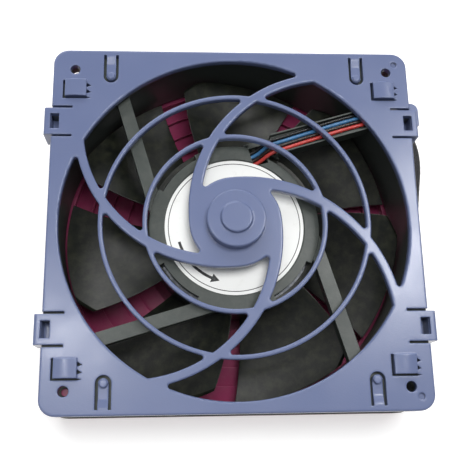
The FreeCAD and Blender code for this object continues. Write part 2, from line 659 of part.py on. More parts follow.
def make_exhaust_guard():
    body = new_body("exhaust_guard")
    square_block(body, frame_top, size.plate_thickness)
    through = size.plate_thickness + 1

    # twelve windows leave the hub plate, two rings and four curved arms
    half_ring = size.ring_width / 2
    drawing = Drawing(body, XY, plate_top)
    finger_window(drawing, size.hub_plate_radius, size.inner_ring_radius - half_ring)
    finger_window(drawing, size.inner_ring_radius + half_ring, size.outer_ring_radius - half_ring)
    finger_window(drawing, size.outer_ring_radius + half_ring, opening_radius)
    windows = pocket(body, drawing, through)
    around(body, [windows], 4)
    seam = 90 + float(size.swirl_outer_angle)

    def window_corner(edge):
        middle = edge.valueAt(edge.FirstParameter)
        turn = (math.degrees(math.atan2(middle.y, middle.x)) - seam) % 90
        smooth = reach(edge) < float(size.hub_plate_radius) + 0.1 and min(turn, 90 - turn) < 1
        return upright(edge) and reach(edge) < float(opening_radius) + 0.1 and not smooth

    round_edges(body, size.window_corner, window_corner)
    round_edges(body, size.finger_rounding, lambda edge: level(edge, plate_top))

    # stepped boss in the middle, cored from below
    boss_top_level = plate_top + size.boss_height
    cap_top = boss_top_level + size.boss_cap_height
    drawing = Drawing(body, XY, plate_top)
    drawing.circle(0, 0, size.boss_radius)
    pad(body, drawing, size.boss_height)
    drawing = Drawing(body, XY, boss_top_level)
    drawing.circle(0, 0, size.boss_cap_radius)
    pad(body, drawing, size.boss_cap_height)
    drawing = Drawing(body, XY, frame_top)
    drawing.circle(0, 0, size.boss_radius - size.boss_wall)
    pocket(body, drawing, size.plate_thickness + size.boss_height - size.boss_wall, up=True)
    round_edges(body, size.boss_rounding, lambda edge: reach(edge) < float(size.boss_radius) + 0.1
                and (level(edge, boss_top_level) or level(edge, cap_top)))

    # clip ears reach past the sides
    ear_low = ear_centre - size.ear_width / 2
    ear_high = ear_centre + size.ear_width / 2
    ear_edge = half_width + size.ear_reach
    leg_inner = half_width + size.ear_leg_gap
    root = half_width - size.ear_cut_length
    drawing = Drawing(body, XY, frame_top)
    drawing.box(root, ear_edge, ear_low, ear_high)
    drawing.box(-ear_edge, -root, ear_low, ear_high)
    plates = pad(body, drawing, size.plate_thickness)
    drawing = Drawing(body, XY, plate_top)
    for low in (ear_low - size.ear_cut_width, ear_high):
        for start, end in ((root, ear_edge + 1), (-ear_edge - 1, -root)):
            drawing.box(start, end, low, low + size.ear_cut_width)
    window_low = ear_centre - size.ear_window_width / 2
    window_high = ear_centre + size.ear_window_width / 2
    window_end = half_width + size.ear_window_shift
    window_start = window_end - size.ear_window_depth
    drawing.box(window_start, window_end, window_low, window_high)
    drawing.box(-window_end, -window_start, window_low, window_high)
    cuts = pocket(body, drawing, through)

    # legs with hooks catch the frame's upper flange
    hook_top = frame_top - size.flange_thickness - size.ear_hook_gap
    hook_middle = hook_top - size.ear_hook_face
    hook_bottom = hook_top - size.ear_hook_height
    hook_tip = half_width - size.ear_hook_reach
    drawing = Drawing(body, XZ, -ear_low)
    for side in (1, -1):
        drawing.polygon([(leg_inner * side, frame_top + 1), (leg_inner * side, hook_top),
                         (hook_tip * side, hook_top), (hook_tip * side, hook_middle),
                         (leg_inner * side, hook_bottom), (ear_edge * side, hook_bottom),
                         (ear_edge * side, frame_top + 1)])
    legs = pad(body, drawing, size.ear_width, down=True)
    mirror(body, [plates, cuts, legs], XZ)

    # one ear has a lug for a finger, lower than its face
    lug_edge = ear_edge + size.lug_reach
    lug_end = ear_high + size.lug_rise
    corner_x = lug_edge - size.lug_radius
    corner_y = lug_end - size.lug_radius
    drawing = Drawing(body, XY, plate_top - size.lug_recess)
    drawing.outline(
        [(leg_inner, ear_centre), (lug_edge, ear_centre), (lug_edge, corner_y),
         (corner_x, lug_end), (leg_inner, lug_end)],
        [None, None, (size.lug_radius, 1), None, None])
    pad(body, drawing, size.lug_height, down=True)
    round_edges(body, size.ear_rounding, lambda edge: level(edge, plate_top)
                and edge.BoundBox.XLength < 1e-4
                and abs(reach_x(edge) - float(ear_edge)) < 0.01)

    # spring tongues, mounting holes and corner pads
    drawing = Drawing(body, XY, plate_top)
    left = -(half_width - size.tongue_inset_left)
    right = half_width - size.tongue_inset_right
    tongue_slot(drawing, left)
    tongue_slot(drawing, right)
    for x in (-hole_offset, hole_offset):
        drawing.circle(x, hole_offset, size.guard_hole_diameter / 2)
    slots = pocket(body, drawing, through)
    tongue_root = half_width - size.tongue_root_inset
    bump_y = tongue_root - size.tongue_length + size.tongue_width / 2
    features = [slots]
    for x in (left, right):
        drawing = Drawing(body, YZ, x + size.tongue_width / 2)
        drawing.polygon([(bump_y, plate_top + 1), (bump_y, plate_top - size.tongue_dip),
                         (tongue_root - size.tongue_ramp, plate_top - size.tongue_dip),
                         (tongue_root - size.tongue_flat, plate_top),
                         (tongue_root - size.tongue_flat, plate_top + 1)])
        features.append(pocket(body, drawing, size.tongue_width))
    drawing = Drawing(body, XY, plate_top - size.tongue_dip)
    drawing.circle(left, bump_y, size.tongue_bump_radius)
    drawing.circle(right, bump_y, size.tongue_bump_radius)
    features.append(pad(body, drawing, size.tongue_dip + size.tongue_bump_height))
    mirror(body, features, XZ)
    bump_top = plate_top + size.tongue_bump_height
    round_edges(body, size.tongue_bump_height * 0.9, lambda edge: level(edge, bump_top))

    # crowned pads, each free on two sides and hinged behind two pointed notches
    pad_low = half_width - size.pad_inset - size.pad_depth
    pad_spans = [(-half_width + size.pad_left, -half_width + size.pad_left + size.pad_width),
                 (half_width - size.pad_right - size.pad_width, half_width - size.pad_right)]
    pad_edge = plate_top + size.pad_height
    for near in (pad_low, -(pad_low + size.pad_depth)):
        drawing = Drawing(body, XZ, -near)
        for start, end in pad_spans:
            drawing.outline([(start, plate_top - 0.1), (end, plate_top - 0.1), (end, pad_edge),
                             (start, pad_edge)], [None, None, (size.pad_crown_radius, 1), None])
        pad(body, drawing, size.pad_depth, down=True)
    drawing = Drawing(body, XY, pad_edge + 1)
    side_slot, end_slot = size.pad_side_slot, size.pad_end_slot
    notch = size.notch_size
    for start, end in pad_spans:
        for low in (pad_low, -(pad_low + size.pad_depth)):
            high = low + size.pad_depth
            drawing.polygon([
                (start - side_slot, high), (start - side_slot, low - end_slot),
                (end, low - end_slot), (end + notch, low - end_slot / 2),
                (end, low), (start, low), (start, high)])
            for step in (0.5, 1.5):
                foot = low + size.notch_pitch * step
                drawing.polygon([(end, foot), (end + notch, foot + notch / 3),
                                 (end, foot + notch)])
    pocket(body, drawing, through + size.pad_height + 1)

    # dimples in two corners
    drawing = Drawing(body, XY, plate_top)
    dimple = half_width - size.dimple_inset
    drawing.circle(dimple, dimple, size.dimple_radius)
    drawing.circle(dimple, -dimple, size.dimple_radius)
    dimples = pocket(body, drawing, size.dimple_depth)
    dimples.TaperAngle = 30
    return body


# --------------------------------------------------------------------------------------
# Inlet guard: square plate with a skirt, conical louvre rings on radial ribs, snap pegs
# --------------------------------------------------------------------------------------
def make_inlet_guard():
    body = new_body("inlet_guard")
    square_block(body, 0, frame_bottom)

    # the plate is hollow from below, between the outer wall and the collar of the opening
    drawing = Drawing(body, XY, 0)
    inside = half_width - size.guard_wall
    drawing.box(-inside, inside, -inside, inside)
    pocket(body, drawing, frame_bottom - size.inlet_plate, up=True)
    drawing = Drawing(body, XY, 0)
    drawing.circle(0, 0, louvre_end + size.guard_wall)
    pad(body, drawing, frame_bottom)
    drawing = Drawing(body, XY, 0)
    drawing.circle(0, 0, louvre_end)
    pocket(body, drawing, frame_bottom, up=True)

    # ribs run from the centre cap into the collar
    drawing = Drawing(body, XY, 0)
    drawing.box(0, louvre_end + size.guard_wall / 2, -size.rib_width / 2, size.rib_width / 2)
    rib = pad(body, drawing, size.rib_height)
    around(body, [rib], size.rib_count)
    drawing = Drawing(body, XY, 0)
    drawing.circle(0, 0, size.louvre_first + size.louvre_overlap)
    pad(body, drawing, size.rib_height)

    # each louvre ring is a cone: its inner edge is high, its outer edge is low
    drawing = Drawing(body, XZ)
    low = size.rib_height - size.louvre_thickness / 2
    for number in range(int(float(size.louvre_count))):
        inner = size.louvre_first + louvre_pitch * number
        outer = inner + louvre_pitch + size.louvre_overlap
        drawing.polygon([
            (inner, low + size.louvre_rise - size.louvre_thickness), (outer, low),
            (outer, low + size.louvre_thickness), (inner, low + size.louvre_rise)])
    revolve(body, drawing)

    # snap pegs through the frame's lower flange
    peg_low = frame_bottom - size.inlet_plate
    flange_top = frame_bottom + size.flange_thickness
    drawing = Drawing(body, XY, peg_low)
    for x in (-hole_offset, hole_offset):
        for y in (-hole_offset, hole_offset):
            drawing.circle(x, y, peg_radius)
    pad(body, drawing, size.inlet_plate + size.flange_thickness + size.peg_barb_gap * 2)
    drawing = Drawing(body, XY, flange_top + size.peg_barb_gap)
    for x in (-hole_offset, hole_offset):
        for y in (-hole_offset, hole_offset):
            drawing.circle(x, y, peg_radius + size.peg_barb)
    barb = pad(body, drawing, size.peg_barb_height)
    bind(barb, "TaperAngle", -size.peg_barb_taper)

    # long pins in the corners that the leads leave free
    drawing = Drawing(body, XY, flange_top)
    for x, y in ((-hole_offset, hole_offset), (-hole_offset, -hole_offset),
                 (hole_offset, hole_offset)):
        drawing.circle(x, y, pin_radius)
    pin = pad(body, drawing, size.frame_depth - size.flange_thickness - size.pin_recess)
    bind(pin, "TaperAngle", -size.pin_taper)
    return body


# --------------------------------------------------------------------------------------
# Fan frame: flanges, duct, flat motor base, four struts, one of them with a lead channel
# --------------------------------------------------------------------------------------
def make_fan_frame():
    body = new_body("fan_frame")
    square_block(body, frame_bottom, size.frame_depth)
    drawing = Drawing(body, XY, frame_top)
    drawing.circle(0, 0, duct_radius)
    pocket(body, drawing, size.frame_depth + 1)
    round_edges(body, size.mouth_rounding, lambda edge: level(edge, frame_bottom)
                and reach(edge) < float(duct_radius) + 0.1)

    # tangential struts start inside the motor base and end beyond the duct's wall
    strut_top = frame_top - size.strut_recess
    strut_bottom = strut_top - size.strut_height
    strut_end = duct_radius - size.strut_root
    half_strut = size.strut_width / 2
    drawing = Drawing(body, XY, strut_bottom, float(size.strut_angle))
    drawing.box(size.strut_start, strut_end, size.strut_offset - half_strut,
                size.strut_offset + half_strut)
    strut = pad(body, drawing, size.strut_height)
    around(body, [strut], 4)
    drawing = Drawing(body, XY, strut_bottom, float(size.strut_angle))
    drawing.box(size.channel_start, strut_end, channel_low, channel_high)
    pad(body, drawing, channel_top - strut_bottom)

    # open corners between the two flanges
    drawing = Drawing(body, XY, frame_bottom + size.flange_thickness)
    beyond = half_width + 5
    drawing.box(-beyond, beyond, -beyond, beyond)
    drawing.circle(0, 0, duct_radius + size.duct_wall)
    pocket(body, drawing, size.frame_depth - size.flange_thickness * 2, up=True)

    # motor base: a low band around the label's seat, with four notches in its edge
    drawing = Drawing(body, XY, base_bottom)
    drawing.circle(0, 0, size.base_radius)
    pad(body, drawing, band_top - base_bottom)
    drawing = Drawing(body, XY, strut_bottom, float(size.strut_angle))
    drawing.box(size.strut_offset / 2, size.channel_start + 1, channel_low - size.bridge_reach,
                channel_high)
    pad(body, drawing, band_top - strut_bottom)
    seat_radius = size.label_radius + size.seat_clearance
    drawing = Drawing(body, XZ)
    drawing.polygon([
        (0, base_top), (seat_radius, base_top), (seat_radius, band_top),
        (size.base_radius, band_top), (size.base_radius, frame_top + 1), (0, frame_top + 1)])
    revolve(body, drawing, cut=True)
    drawing = Drawing(body, XZ, turn=float(size.base_notch_start))
    drawing.box(size.base_radius - size.base_notch_depth, size.base_radius + 0.1,
                base_bottom - 1, band_top + 1)
    notch = revolve(body, drawing, cut=True, angle=size.base_notch_angle)
    around(body, [notch], 4)
    drawing = Drawing(body, XY, base_top)
    drawing.circle(0, 0, size.tube_radius)
    pocket(body, drawing, size.base_thickness + 1)

    # way of the leads: under the base, up at its edge, along the channel, down the flange
    inner_low = channel_low + size.channel_wall
    inner_high = channel_high - size.channel_wall
    drawing = Drawing(body, XY, frame_top, float(size.strut_angle))
    slot_end = duct_radius + size.lead_slot_length
    drawing.box(size.channel_start - 1, slot_end, inner_low, inner_high)
    pocket(body, drawing, size.channel_floor)
    drawing = Drawing(body, XY, frame_top, float(size.strut_angle))
    drawing.box(duct_radius - size.lead_slot_start, slot_end, inner_low, inner_high)
    pocket(body, drawing, size.lead_slot_depth)
    hole_end = size.channel_start - size.lead_hole_gap
    hole_start = hole_end - size.lead_hole_length
    hole_low = size.lead_hole_offset - size.lead_hole_width / 2
    hole_high = size.lead_hole_offset + size.lead_hole_width / 2
    drawing = Drawing(body, XY, frame_top, float(size.strut_angle))
    drawing.box(hole_start, hole_end, hole_low, hole_high)
    pocket(body, drawing, size.base_depth + 1)
    drawing = Drawing(body, XY, frame_top, float(size.strut_angle))
    drawing.box(hole_start, size.channel_start, hole_low, inner_high - size.lead_step_margin)
    pocket(body, drawing, frame_top - band_top)
    drawing = Drawing(body, XY, base_bottom, float(size.strut_angle))
    half_passage = size.passage_width / 2
    drawing.box(0, hole_end, size.passage_offset - half_passage, size.passage_offset + half_passage)
    pocket(body, drawing, size.passage_height, up=True)

    # notches that the clip hooks pass
    drawing = Drawing(body, XY, frame_top)
    notch_low = ear_centre - size.ear_window_width / 2
    notch_high = ear_centre + size.ear_window_width / 2
    notch_edge = half_width + size.ear_window_shift - size.ear_window_depth
    for low, high in ((notch_low, notch_high), (-notch_high, -notch_low)):
        drawing.box(notch_edge, half_width + 1, low, high)
        drawing.box(-half_width - 1, -notch_edge, low, high)
    pocket(body, drawing, size.flange_thickness)

    # mounting holes
    drawing = Drawing(body, XY, frame_top)
    for x in (-hole_offset, hole_offset):
        for y in (-hole_offset, hole_offset):
            drawing.circle(x, y, size.frame_hole_diameter / 2)
    pocket(body, drawing, size.frame_depth + 1)
    return body


# --------------------------------------------------------------------------------------
# Impeller: hub cup and swept blades lofted through three curved sections
# --------------------------------------------------------------------------------------
def blade_section(body, distance, sweep, taper):
    """A blade's section on a plane at a distance from the axis."""
    half_chord = distance * (sine(size.blade_spread) / cosine(size.blade_spread))
    lead = -half_chord - sweep
    trail = half_chord - sweep
    low = crown_bottom + size.blade_lower_margin + taper
    high = skirt_top - size.blade_upper_margin - taper
    drawing = Drawing(body, YZ, distance)
    drawing.outline(
        [(lead, low), (trail, high - size.blade_edge), (trail, high), (lead, low + size.blade_edge)],
        [(size.blade_lower_radius, 1), None, (size.blade_upper_radius, -1), None])
    return drawing


def make_impeller():
    body = new_body("impeller")
    drawing = Drawing(body, XZ)
    drawing.polygon(ring_profile(0, size.hub_radius, crown_bottom, skirt_top))
    revolve(body, drawing)
    round_edges(body, size.hub_rounding, lambda edge: level(edge, crown_bottom))
    root_distance = size.hub_radius - size.blade_root_depth
    middle_distance = (root_distance + tip_radius) / 2
    tip_distance = tip_radius + size.blade_overrun
    sections = [
        blade_section(body, root_distance, NOTHING, NOTHING),
        blade_section(body, middle_distance, size.blade_middle_sweep, size.blade_middle_taper),
        blade_section(body, tip_distance, size.blade_sweep, size.blade_tip_taper)]
    blade = body.newObject("PartDesign::AdditiveLoft", "impeller_blade")
    blade.Profile = (sections[0].sketch, [""])
    blade.Sections = [(drawing.sketch, [""]) for drawing in sections[1:]]
    around(body, [blade], size.blade_count)
    drawing = Drawing(body, XZ)
    drawing.polygon([(tip_radius + 1, skirt_top + 1), (tip_radius - size.tip_relief, skirt_top + 1),
                     (tip_radius - size.tip_relief, skirt_top),
                     (tip_radius + 1, skirt_top - size.tip_relief)])
    revolve(body, drawing, cut=True)
    tip_turn = math.degrees(math.atan(float(size.blade_sweep) / float(tip_distance)))
    between_blades = 180 / float(size.blade_count) - tip_turn
    drawing = Drawing(body, XY, frame_top, between_blades)
    drawing.circle(0, 0, tip_radius)
    drawing.circle(0, 0, tip_radius * 2)
    pocket(body, drawing, size.frame_depth + 10)
    drawing = Drawing(body, XZ)
    drawing.polygon([
        (size.hub_boss_radius, crown_top), (hub_bore, crown_top), (hub_bore, skirt_top + 1),
        (0, skirt_top + 1), (0, boss_top), (size.hub_boss_radius, boss_top)])
    revolve(body, drawing, cut=True)
    drawing = Drawing(body, XY, boss_top)
    drawing.circle(0, 0, size.bush_radius)
    pocket(body, drawing, boss_top - crown_bottom + 1)
    body.Placement.Rotation = FreeCAD.Rotation(Vector(0, 0, 1), float(size.blade_start))
    return body


# --------------------------------------------------------------------------------------
# Rotor inside the hub, shaft and bearings
# --------------------------------------------------------------------------------------
def make_rotor_parts():
    turned("rotor_yoke", ring_profile(yoke_bore, hub_bore, crown_top, skirt_top - size.yoke_recess))
    turned("rotor_magnet", ring_profile(magnet_bore, yoke_bore, crown_top + size.magnet_inset,
                                        coil_top))
    bush_low = crown_bottom + size.bush_cover
    turned("shaft_bush", ring_profile(size.shaft_radius, size.bush_radius, bush_low, boss_top))
    clip_low = upper_bearing_bottom + size.bearing_width + size.clip_gap
    clip_high = clip_low + size.clip_thickness
    neck = size.shaft_radius - size.neck_depth
    shaft_top = clip_high + size.shaft_end
    turned("shaft", [
        (0, bush_low), (size.shaft_radius, bush_low), (size.shaft_radius, clip_low),
        (neck, clip_low), (neck, clip_high), (size.shaft_radius, clip_high),
        (size.shaft_radius, shaft_top - size.shaft_chamfer),
        (size.shaft_radius - size.shaft_chamfer, shaft_top), (0, shaft_top)])
    body = new_body("retaining_ring")
    drawing = Drawing(body, XY, clip_low)
    drawing.circle(0, 0, size.clip_radius)
    drawing.circle(0, 0, neck)
    pad(body, drawing, size.clip_thickness)
    drawing = Drawing(body, XY, clip_high)
    drawing.box(0, size.clip_radius + 1, -size.clip_mouth / 2, size.clip_mouth / 2)
    pocket(body, drawing, size.clip_thickness + 1)
    inner = size.shaft_radius + size.washer_clearance
    outer = inner + size.washer_width
    sheet_high = lower_bearing_bottom - size.washer_thickness
    sheet_low = boss_top + size.washer_thickness
    turned("preload_washer", [
        (inner, sheet_high), (inner, lower_bearing_bottom),
        (inner + size.washer_land, lower_bearing_bottom), (outer, sheet_low), (outer, boss_top),
        (outer - size.washer_land, boss_top)])


def bearing_ring(label, inner, outer, low):
    """A bearing ring with its ball groove."""
    body = new_body(label)
    drawing = Drawing(body, XZ)
    drawing.polygon(ring_profile(inner, outer, low, low + size.bearing_width))
    revolve(body, drawing)
    drawing = Drawing(body, XZ)
    drawing.circle(ball_pitch_radius, low + size.bearing_width / 2,
                   size.ball_radius + size.ball_clearance)
    revolve(body, drawing, cut=True)
    return body


def ball_ring(label, low):
    """Balls all round at the middle of a bearing, as one node."""
    count = int(float(size.ball_count))
    balls = []
    for number in range(count):
        ball = doc.addObject("Part::Sphere", f"{label}_{number + 1}")
        bind(ball, "Radius", size.ball_radius)
        angle = 2 * math.pi * number / count
        ball.setExpression("Placement.Base.x", (ball_pitch_radius * math.cos(angle)).text)
        ball.setExpression("Placement.Base.y", (ball_pitch_radius * math.sin(angle)).text)
        ball.setExpression("Placement.Base.z", (low + size.bearing_width / 2).text)
        balls.append(ball)
    group = doc.addObject("Part::Compound", label)
    group.Links = balls
    group.Label = label
    return group


def ball_cage(label, low):
    """A thin ring with a round pocket for each ball."""
    middle = low + size.bearing_width / 2
    body = turned(label, ring_profile(
        ball_pitch_radius - size.cage_wall / 2, ball_pitch_radius + size.cage_wall / 2,
        middle - size.cage_width / 2, middle + size.cage_width / 2))
    drawing = Drawing(body, YZ)
    drawing.circle(0, middle, size.ball_radius + size.cage_clearance)
    hole = pocket(body, drawing, size.bearing_radius, up=True)
    around(body, [hole], size.ball_count)
    return body


def make_bearings():
    for name, low in (("lower", lower_bearing_bottom), ("upper", upper_bearing_bottom)):
        bearing_ring(f"{name}_bearing_inner_ring", size.shaft_radius,
                     size.shaft_radius + size.race_wall, low)
        bearing_ring(f"{name}_bearing_outer_ring", size.bearing_radius - size.race_wall,
                     size.bearing_radius, low)
        ball_ring(f"{name}_bearing_balls", low)
        ball_cage(f"{name}_bearing_cage", low)


# --------------------------------------------------------------------------------------
# Stator: bearing tube, laminated core, insulators, coils, circuit board
# --------------------------------------------------------------------------------------
def four_poles(label, low, high, thin):
    """A hub, four teeth and four pole shoes between two levels, thinner by thin all round."""
    body = new_body(label)
    height = high - low
    drawing = Drawing(body, XY, low)
    drawing.circle(0, 0, size.core_hub_radius)
    drawing.circle(0, 0, size.tube_radius + size.core_clearance)
    pad(body, drawing, height)
    drawing = Drawing(body, XY, low)
    shoe_bore = stator_radius - size.shoe_thickness
    drawing.box(size.core_hub_radius - 1, shoe_bore + 0.5, -size.tooth_width / 2, size.tooth_width / 2)
    tooth = pad(body, drawing, height)
    around(body, [tooth], 4)
    drawing = Drawing(body, XY, low)
    drawing.circle(0, 0, stator_radius - thin)
    drawing.circle(0, 0, shoe_bore + thin)
    pad(body, drawing, height)
    drawing = Drawing(body, XY, high, 45.0)
    half_slot = size.slot_opening / 2 + thin
    drawing.box(size.core_hub_radius + 3, stator_radius + 1, -half_slot, half_slot)
    slot = pocket(body, drawing, height + 1)
    around(body, [slot], 4)
    return body


def make_coils():
    """Four windings, one around each tooth, as one node."""
    low = core_bottom - size.insulator_thickness - size.coil_overhang
    high = core_top + size.insulator_thickness + size.coil_overhang
    shoe_bore = stator_radius - size.shoe_thickness
    start = size.core_hub_radius + size.coil_start_gap
    coils = []
    for number in range(4):
        body = new_body(f"coil_{number + 1}")
        drawing = Drawing(body, YZ, start)
        half = size.tooth_width / 2
        drawing.box(-half - size.coil_thickness, half + size.coil_thickness, low, high)
        drawing.box(-half, half, core_bottom - size.insulator_thickness,
                    core_top + size.insulator_thickness)
        half_coil = half + size.coil_thickness
        end = root(shoe_bore * shoe_bore - half_coil * half_coil) - size.coil_end_gap
        pad(body, drawing, end - start)
        round_edges(body, size.coil_rounding, outer_corner)
        body.Placement = FreeCAD.Placement(Vector(), FreeCAD.Rotation(Vector(0, 0, 1), 90 * number))
        coils.append(body)
    group = doc.addObject("Part::Compound", "stator_coils")
    group.Links = coils
    group.Label = "stator_coils"
    return group


def outer_corner(edge):
    """Whether an edge runs along X at a coil's outer corner."""
    box = edge.BoundBox
    across = float(size.tooth_width / 2 + size.coil_thickness)
    return box.XLength > 1 and box.YLength < 1e-4 and abs(abs(box.YMin) - across) < 1e-3


# components under the circuit board: corner in x and y, and size along x and y
CHIPS = [
    (9, -6, 4.9, 3.9), (-12, 9, 3.0, 1.6), (-9, -13, 3.0, 2.5), (3, 14, 2.0, 1.25),
    (-16, -2, 2.0, 1.25)]


def make_stator():
    turned("bearing_tube", [
        (size.bearing_radius, tube_bottom), (size.tube_radius, tube_bottom),
        (size.tube_radius, base_top), (size.bearing_radius, base_top),
        (size.bearing_radius, upper_bearing_bottom),
        (size.bearing_radius - size.tube_shoulder, upper_bearing_bottom),
        (size.bearing_radius - size.tube_shoulder, lower_bearing_bottom + size.bearing_width),
        (size.bearing_radius, lower_bearing_bottom + size.bearing_width)])
    four_poles("stator_core", core_bottom, core_top, NOTHING)
    four_poles("lower_insulator", core_bottom - size.insulator_thickness, core_bottom,
               size.insulator_inset)
    four_poles("upper_insulator", core_top, core_top + size.insulator_thickness,
               size.insulator_inset)
    make_coils()
    body = new_body("circuit_board")
    drawing = Drawing(body, XY, board_bottom)
    drawing.circle(0, 0, board_radius)
    drawing.circle(0, 0, size.tube_radius + size.board_bore_gap)
    pad(body, drawing, size.board_thickness)
    body = new_body("hall_sensor")
    drawing = Drawing(body, XY, board_bottom, 45.0)
    middle = stator_radius - size.sensor_inset
    half_depth = size.sensor_width / 2
    half_length = size.sensor_length / 2
    drawing.box(middle - half_depth, middle + half_depth, -half_length, half_length)
    pad(body, drawing, size.component_room + size.sensor_reach, down=True)
    chips = []
    chip_height = size.component_room - size.component_gap
    for number, (x, y, along_x, along_y) in enumerate(CHIPS, start=1):
        chip = doc.addObject("Part::Box", f"chip_{number}")
        chip.Length = along_x
        chip.Width = along_y
        bind(chip, "Height", chip_height)
        chip.Placement.Base = Vector(x, y, 0)
        chip.setExpression("Placement.Base.z", (board_bottom - chip_height).text)
        chips.append(chip)
    group = doc.addObject("Part::Compound", "board_components")
    group.Links = chips
    group.Label = "board_components"
    body = new_body("motor_label")
    drawing = Drawing(body, XY, base_top)
    drawing.circle(0, 0, size.label_radius)
    pad(body, drawing, size.label_thickness)


# --------------------------------------------------------------------------------------
# Leads, sleeve and connector
# --------------------------------------------------------------------------------------
def route(points):
    """A wire of straight runs joined by tangent arcs, and its smallest bend radius."""
    edges = []
    radii = []
    start = points[0]
    for before, corner, after in zip(points, points[1:], points[2:]):
        inward = (before - corner).normalize()
        outward = (after - corner).normalize()
        turn = math.pi - inward.getAngle(outward)
        trim = 0.45 * min((before - corner).Length, (after - corner).Length)
        radius = trim / math.tan(turn / 2)
        radii.append(radius)
        bisector = (inward + outward).normalize()
        middle = corner + bisector * (radius / math.cos(turn / 2) - radius)
        first, last = corner + inward * trim, corner + outward * trim
        edges.append(Part.LineSegment(start, first).toShape())
        edges.append(Part.Arc(first, middle, last).toShape())
        start = last
    edges.append(Part.LineSegment(start, points[-1]).toShape())
    return Part.Wire(edges), min(radii)


def tube(label, points, diameter):
    """A round cord along a route."""
    path, bend = route(points)
    section = Part.Wire([Part.Circle(points[0], points[1] - points[0], diameter / 2).toShape()])
    solid = path.makePipeShell([section], True, True)
    expected = math.pi * diameter ** 2 / 4 * path.Length
    if abs(solid.Volume / expected - 1) > 0.02:
        raise ValueError(f"{label} has the wrong volume")
    print(f"{label}: length {path.Length:.1f} mm, smallest bend radius {bend:.1f} mm")
    feature = doc.addObject("Part::Feature", label)
    feature.Shape = solid
    feature.Label = label
    return feature


def along_channel(x, y, z):
    """A point given along and across the lead channel."""
    turn = math.radians(float(size.strut_angle))
    return Vector(x * math.cos(turn) - y * math.sin(turn), x * math.sin(turn) + y * math.cos(turn), z)


# across the lead channel: each lead at its start, in the channel, at the flange; in the
# bundle: side and level
LEADS = [
    ("black", 22.45, 24.2, 24.85, -1, 0),
    ("blue", 21.1, 22.8, 23.55, 0, 1),
    ("brown", 19.75, 21.45, 22.25, 0, -1),
    ("red", 18.4, 20.1, 20.95, 1, 0)]

SLEEVE_POINTS = [
    Vector(51.2, 39.7, 25.6), Vector(54.2, 41.3, 22.0), Vector(58.6, 40.9, 19.4),
    Vector(62.2, 36.8, 18.4), Vector(64.5, 30.6, 18.4), Vector(64.8, 23.6, 18.5),
    Vector(63.5, 15.6, 18.6), Vector(62.3, 6.5, 18.5), Vector(62.1, -5.0, 18.4),
    Vector(62.3, -18.0, 18.4), Vector(62.0, -29.5, 18.5), Vector(59.6, -36.6, 18.5),
    Vector(55.6, -40.0, 18.5), Vector(52.7, -42.4, 18.5), Vector(52.7, -46.0, 18.5)]


def make_leads():
    side = (SLEEVE_POINTS[1] - SLEEVE_POINTS[0]).normalize()
    across = side.cross(Vector(0, 0, 1)).normalize()
    above = across.cross(side)
    diameter = float(size.lead_diameter)
    step = 0.8 * diameter
    solder = float(board_top) + diameter / 2 + 0.01
    high = float(lead_level) + 0.06
    rise = float(size.channel_start) - 1.5
    flange = float(duct_radius) - 4
    for colour, start_y, channel_y, end_y, column, row in LEADS:
        mouth = SLEEVE_POINTS[0] + across * (step * column) + above * (step * row)
        points = [
            along_channel(3.0, start_y, solder), along_channel(rise - 4.8, start_y + 0.4, solder),
            along_channel(rise, channel_y - 0.1, high), along_channel(rise + 5, channel_y, high),
            along_channel(rise + 14, (channel_y + end_y) / 2, high),
            along_channel(rise + 25, end_y, high),
            along_channel(flange, end_y, high),
            along_channel(flange + 2.8, end_y - 0.12 * column, high + 0.1 + 0.56 * row),
            mouth - side * 2.2, mouth]
        tube(f"lead_{colour}", points, diameter)
    tube("lead_sleeve", SLEEVE_POINTS, float(size.sleeve_diameter))


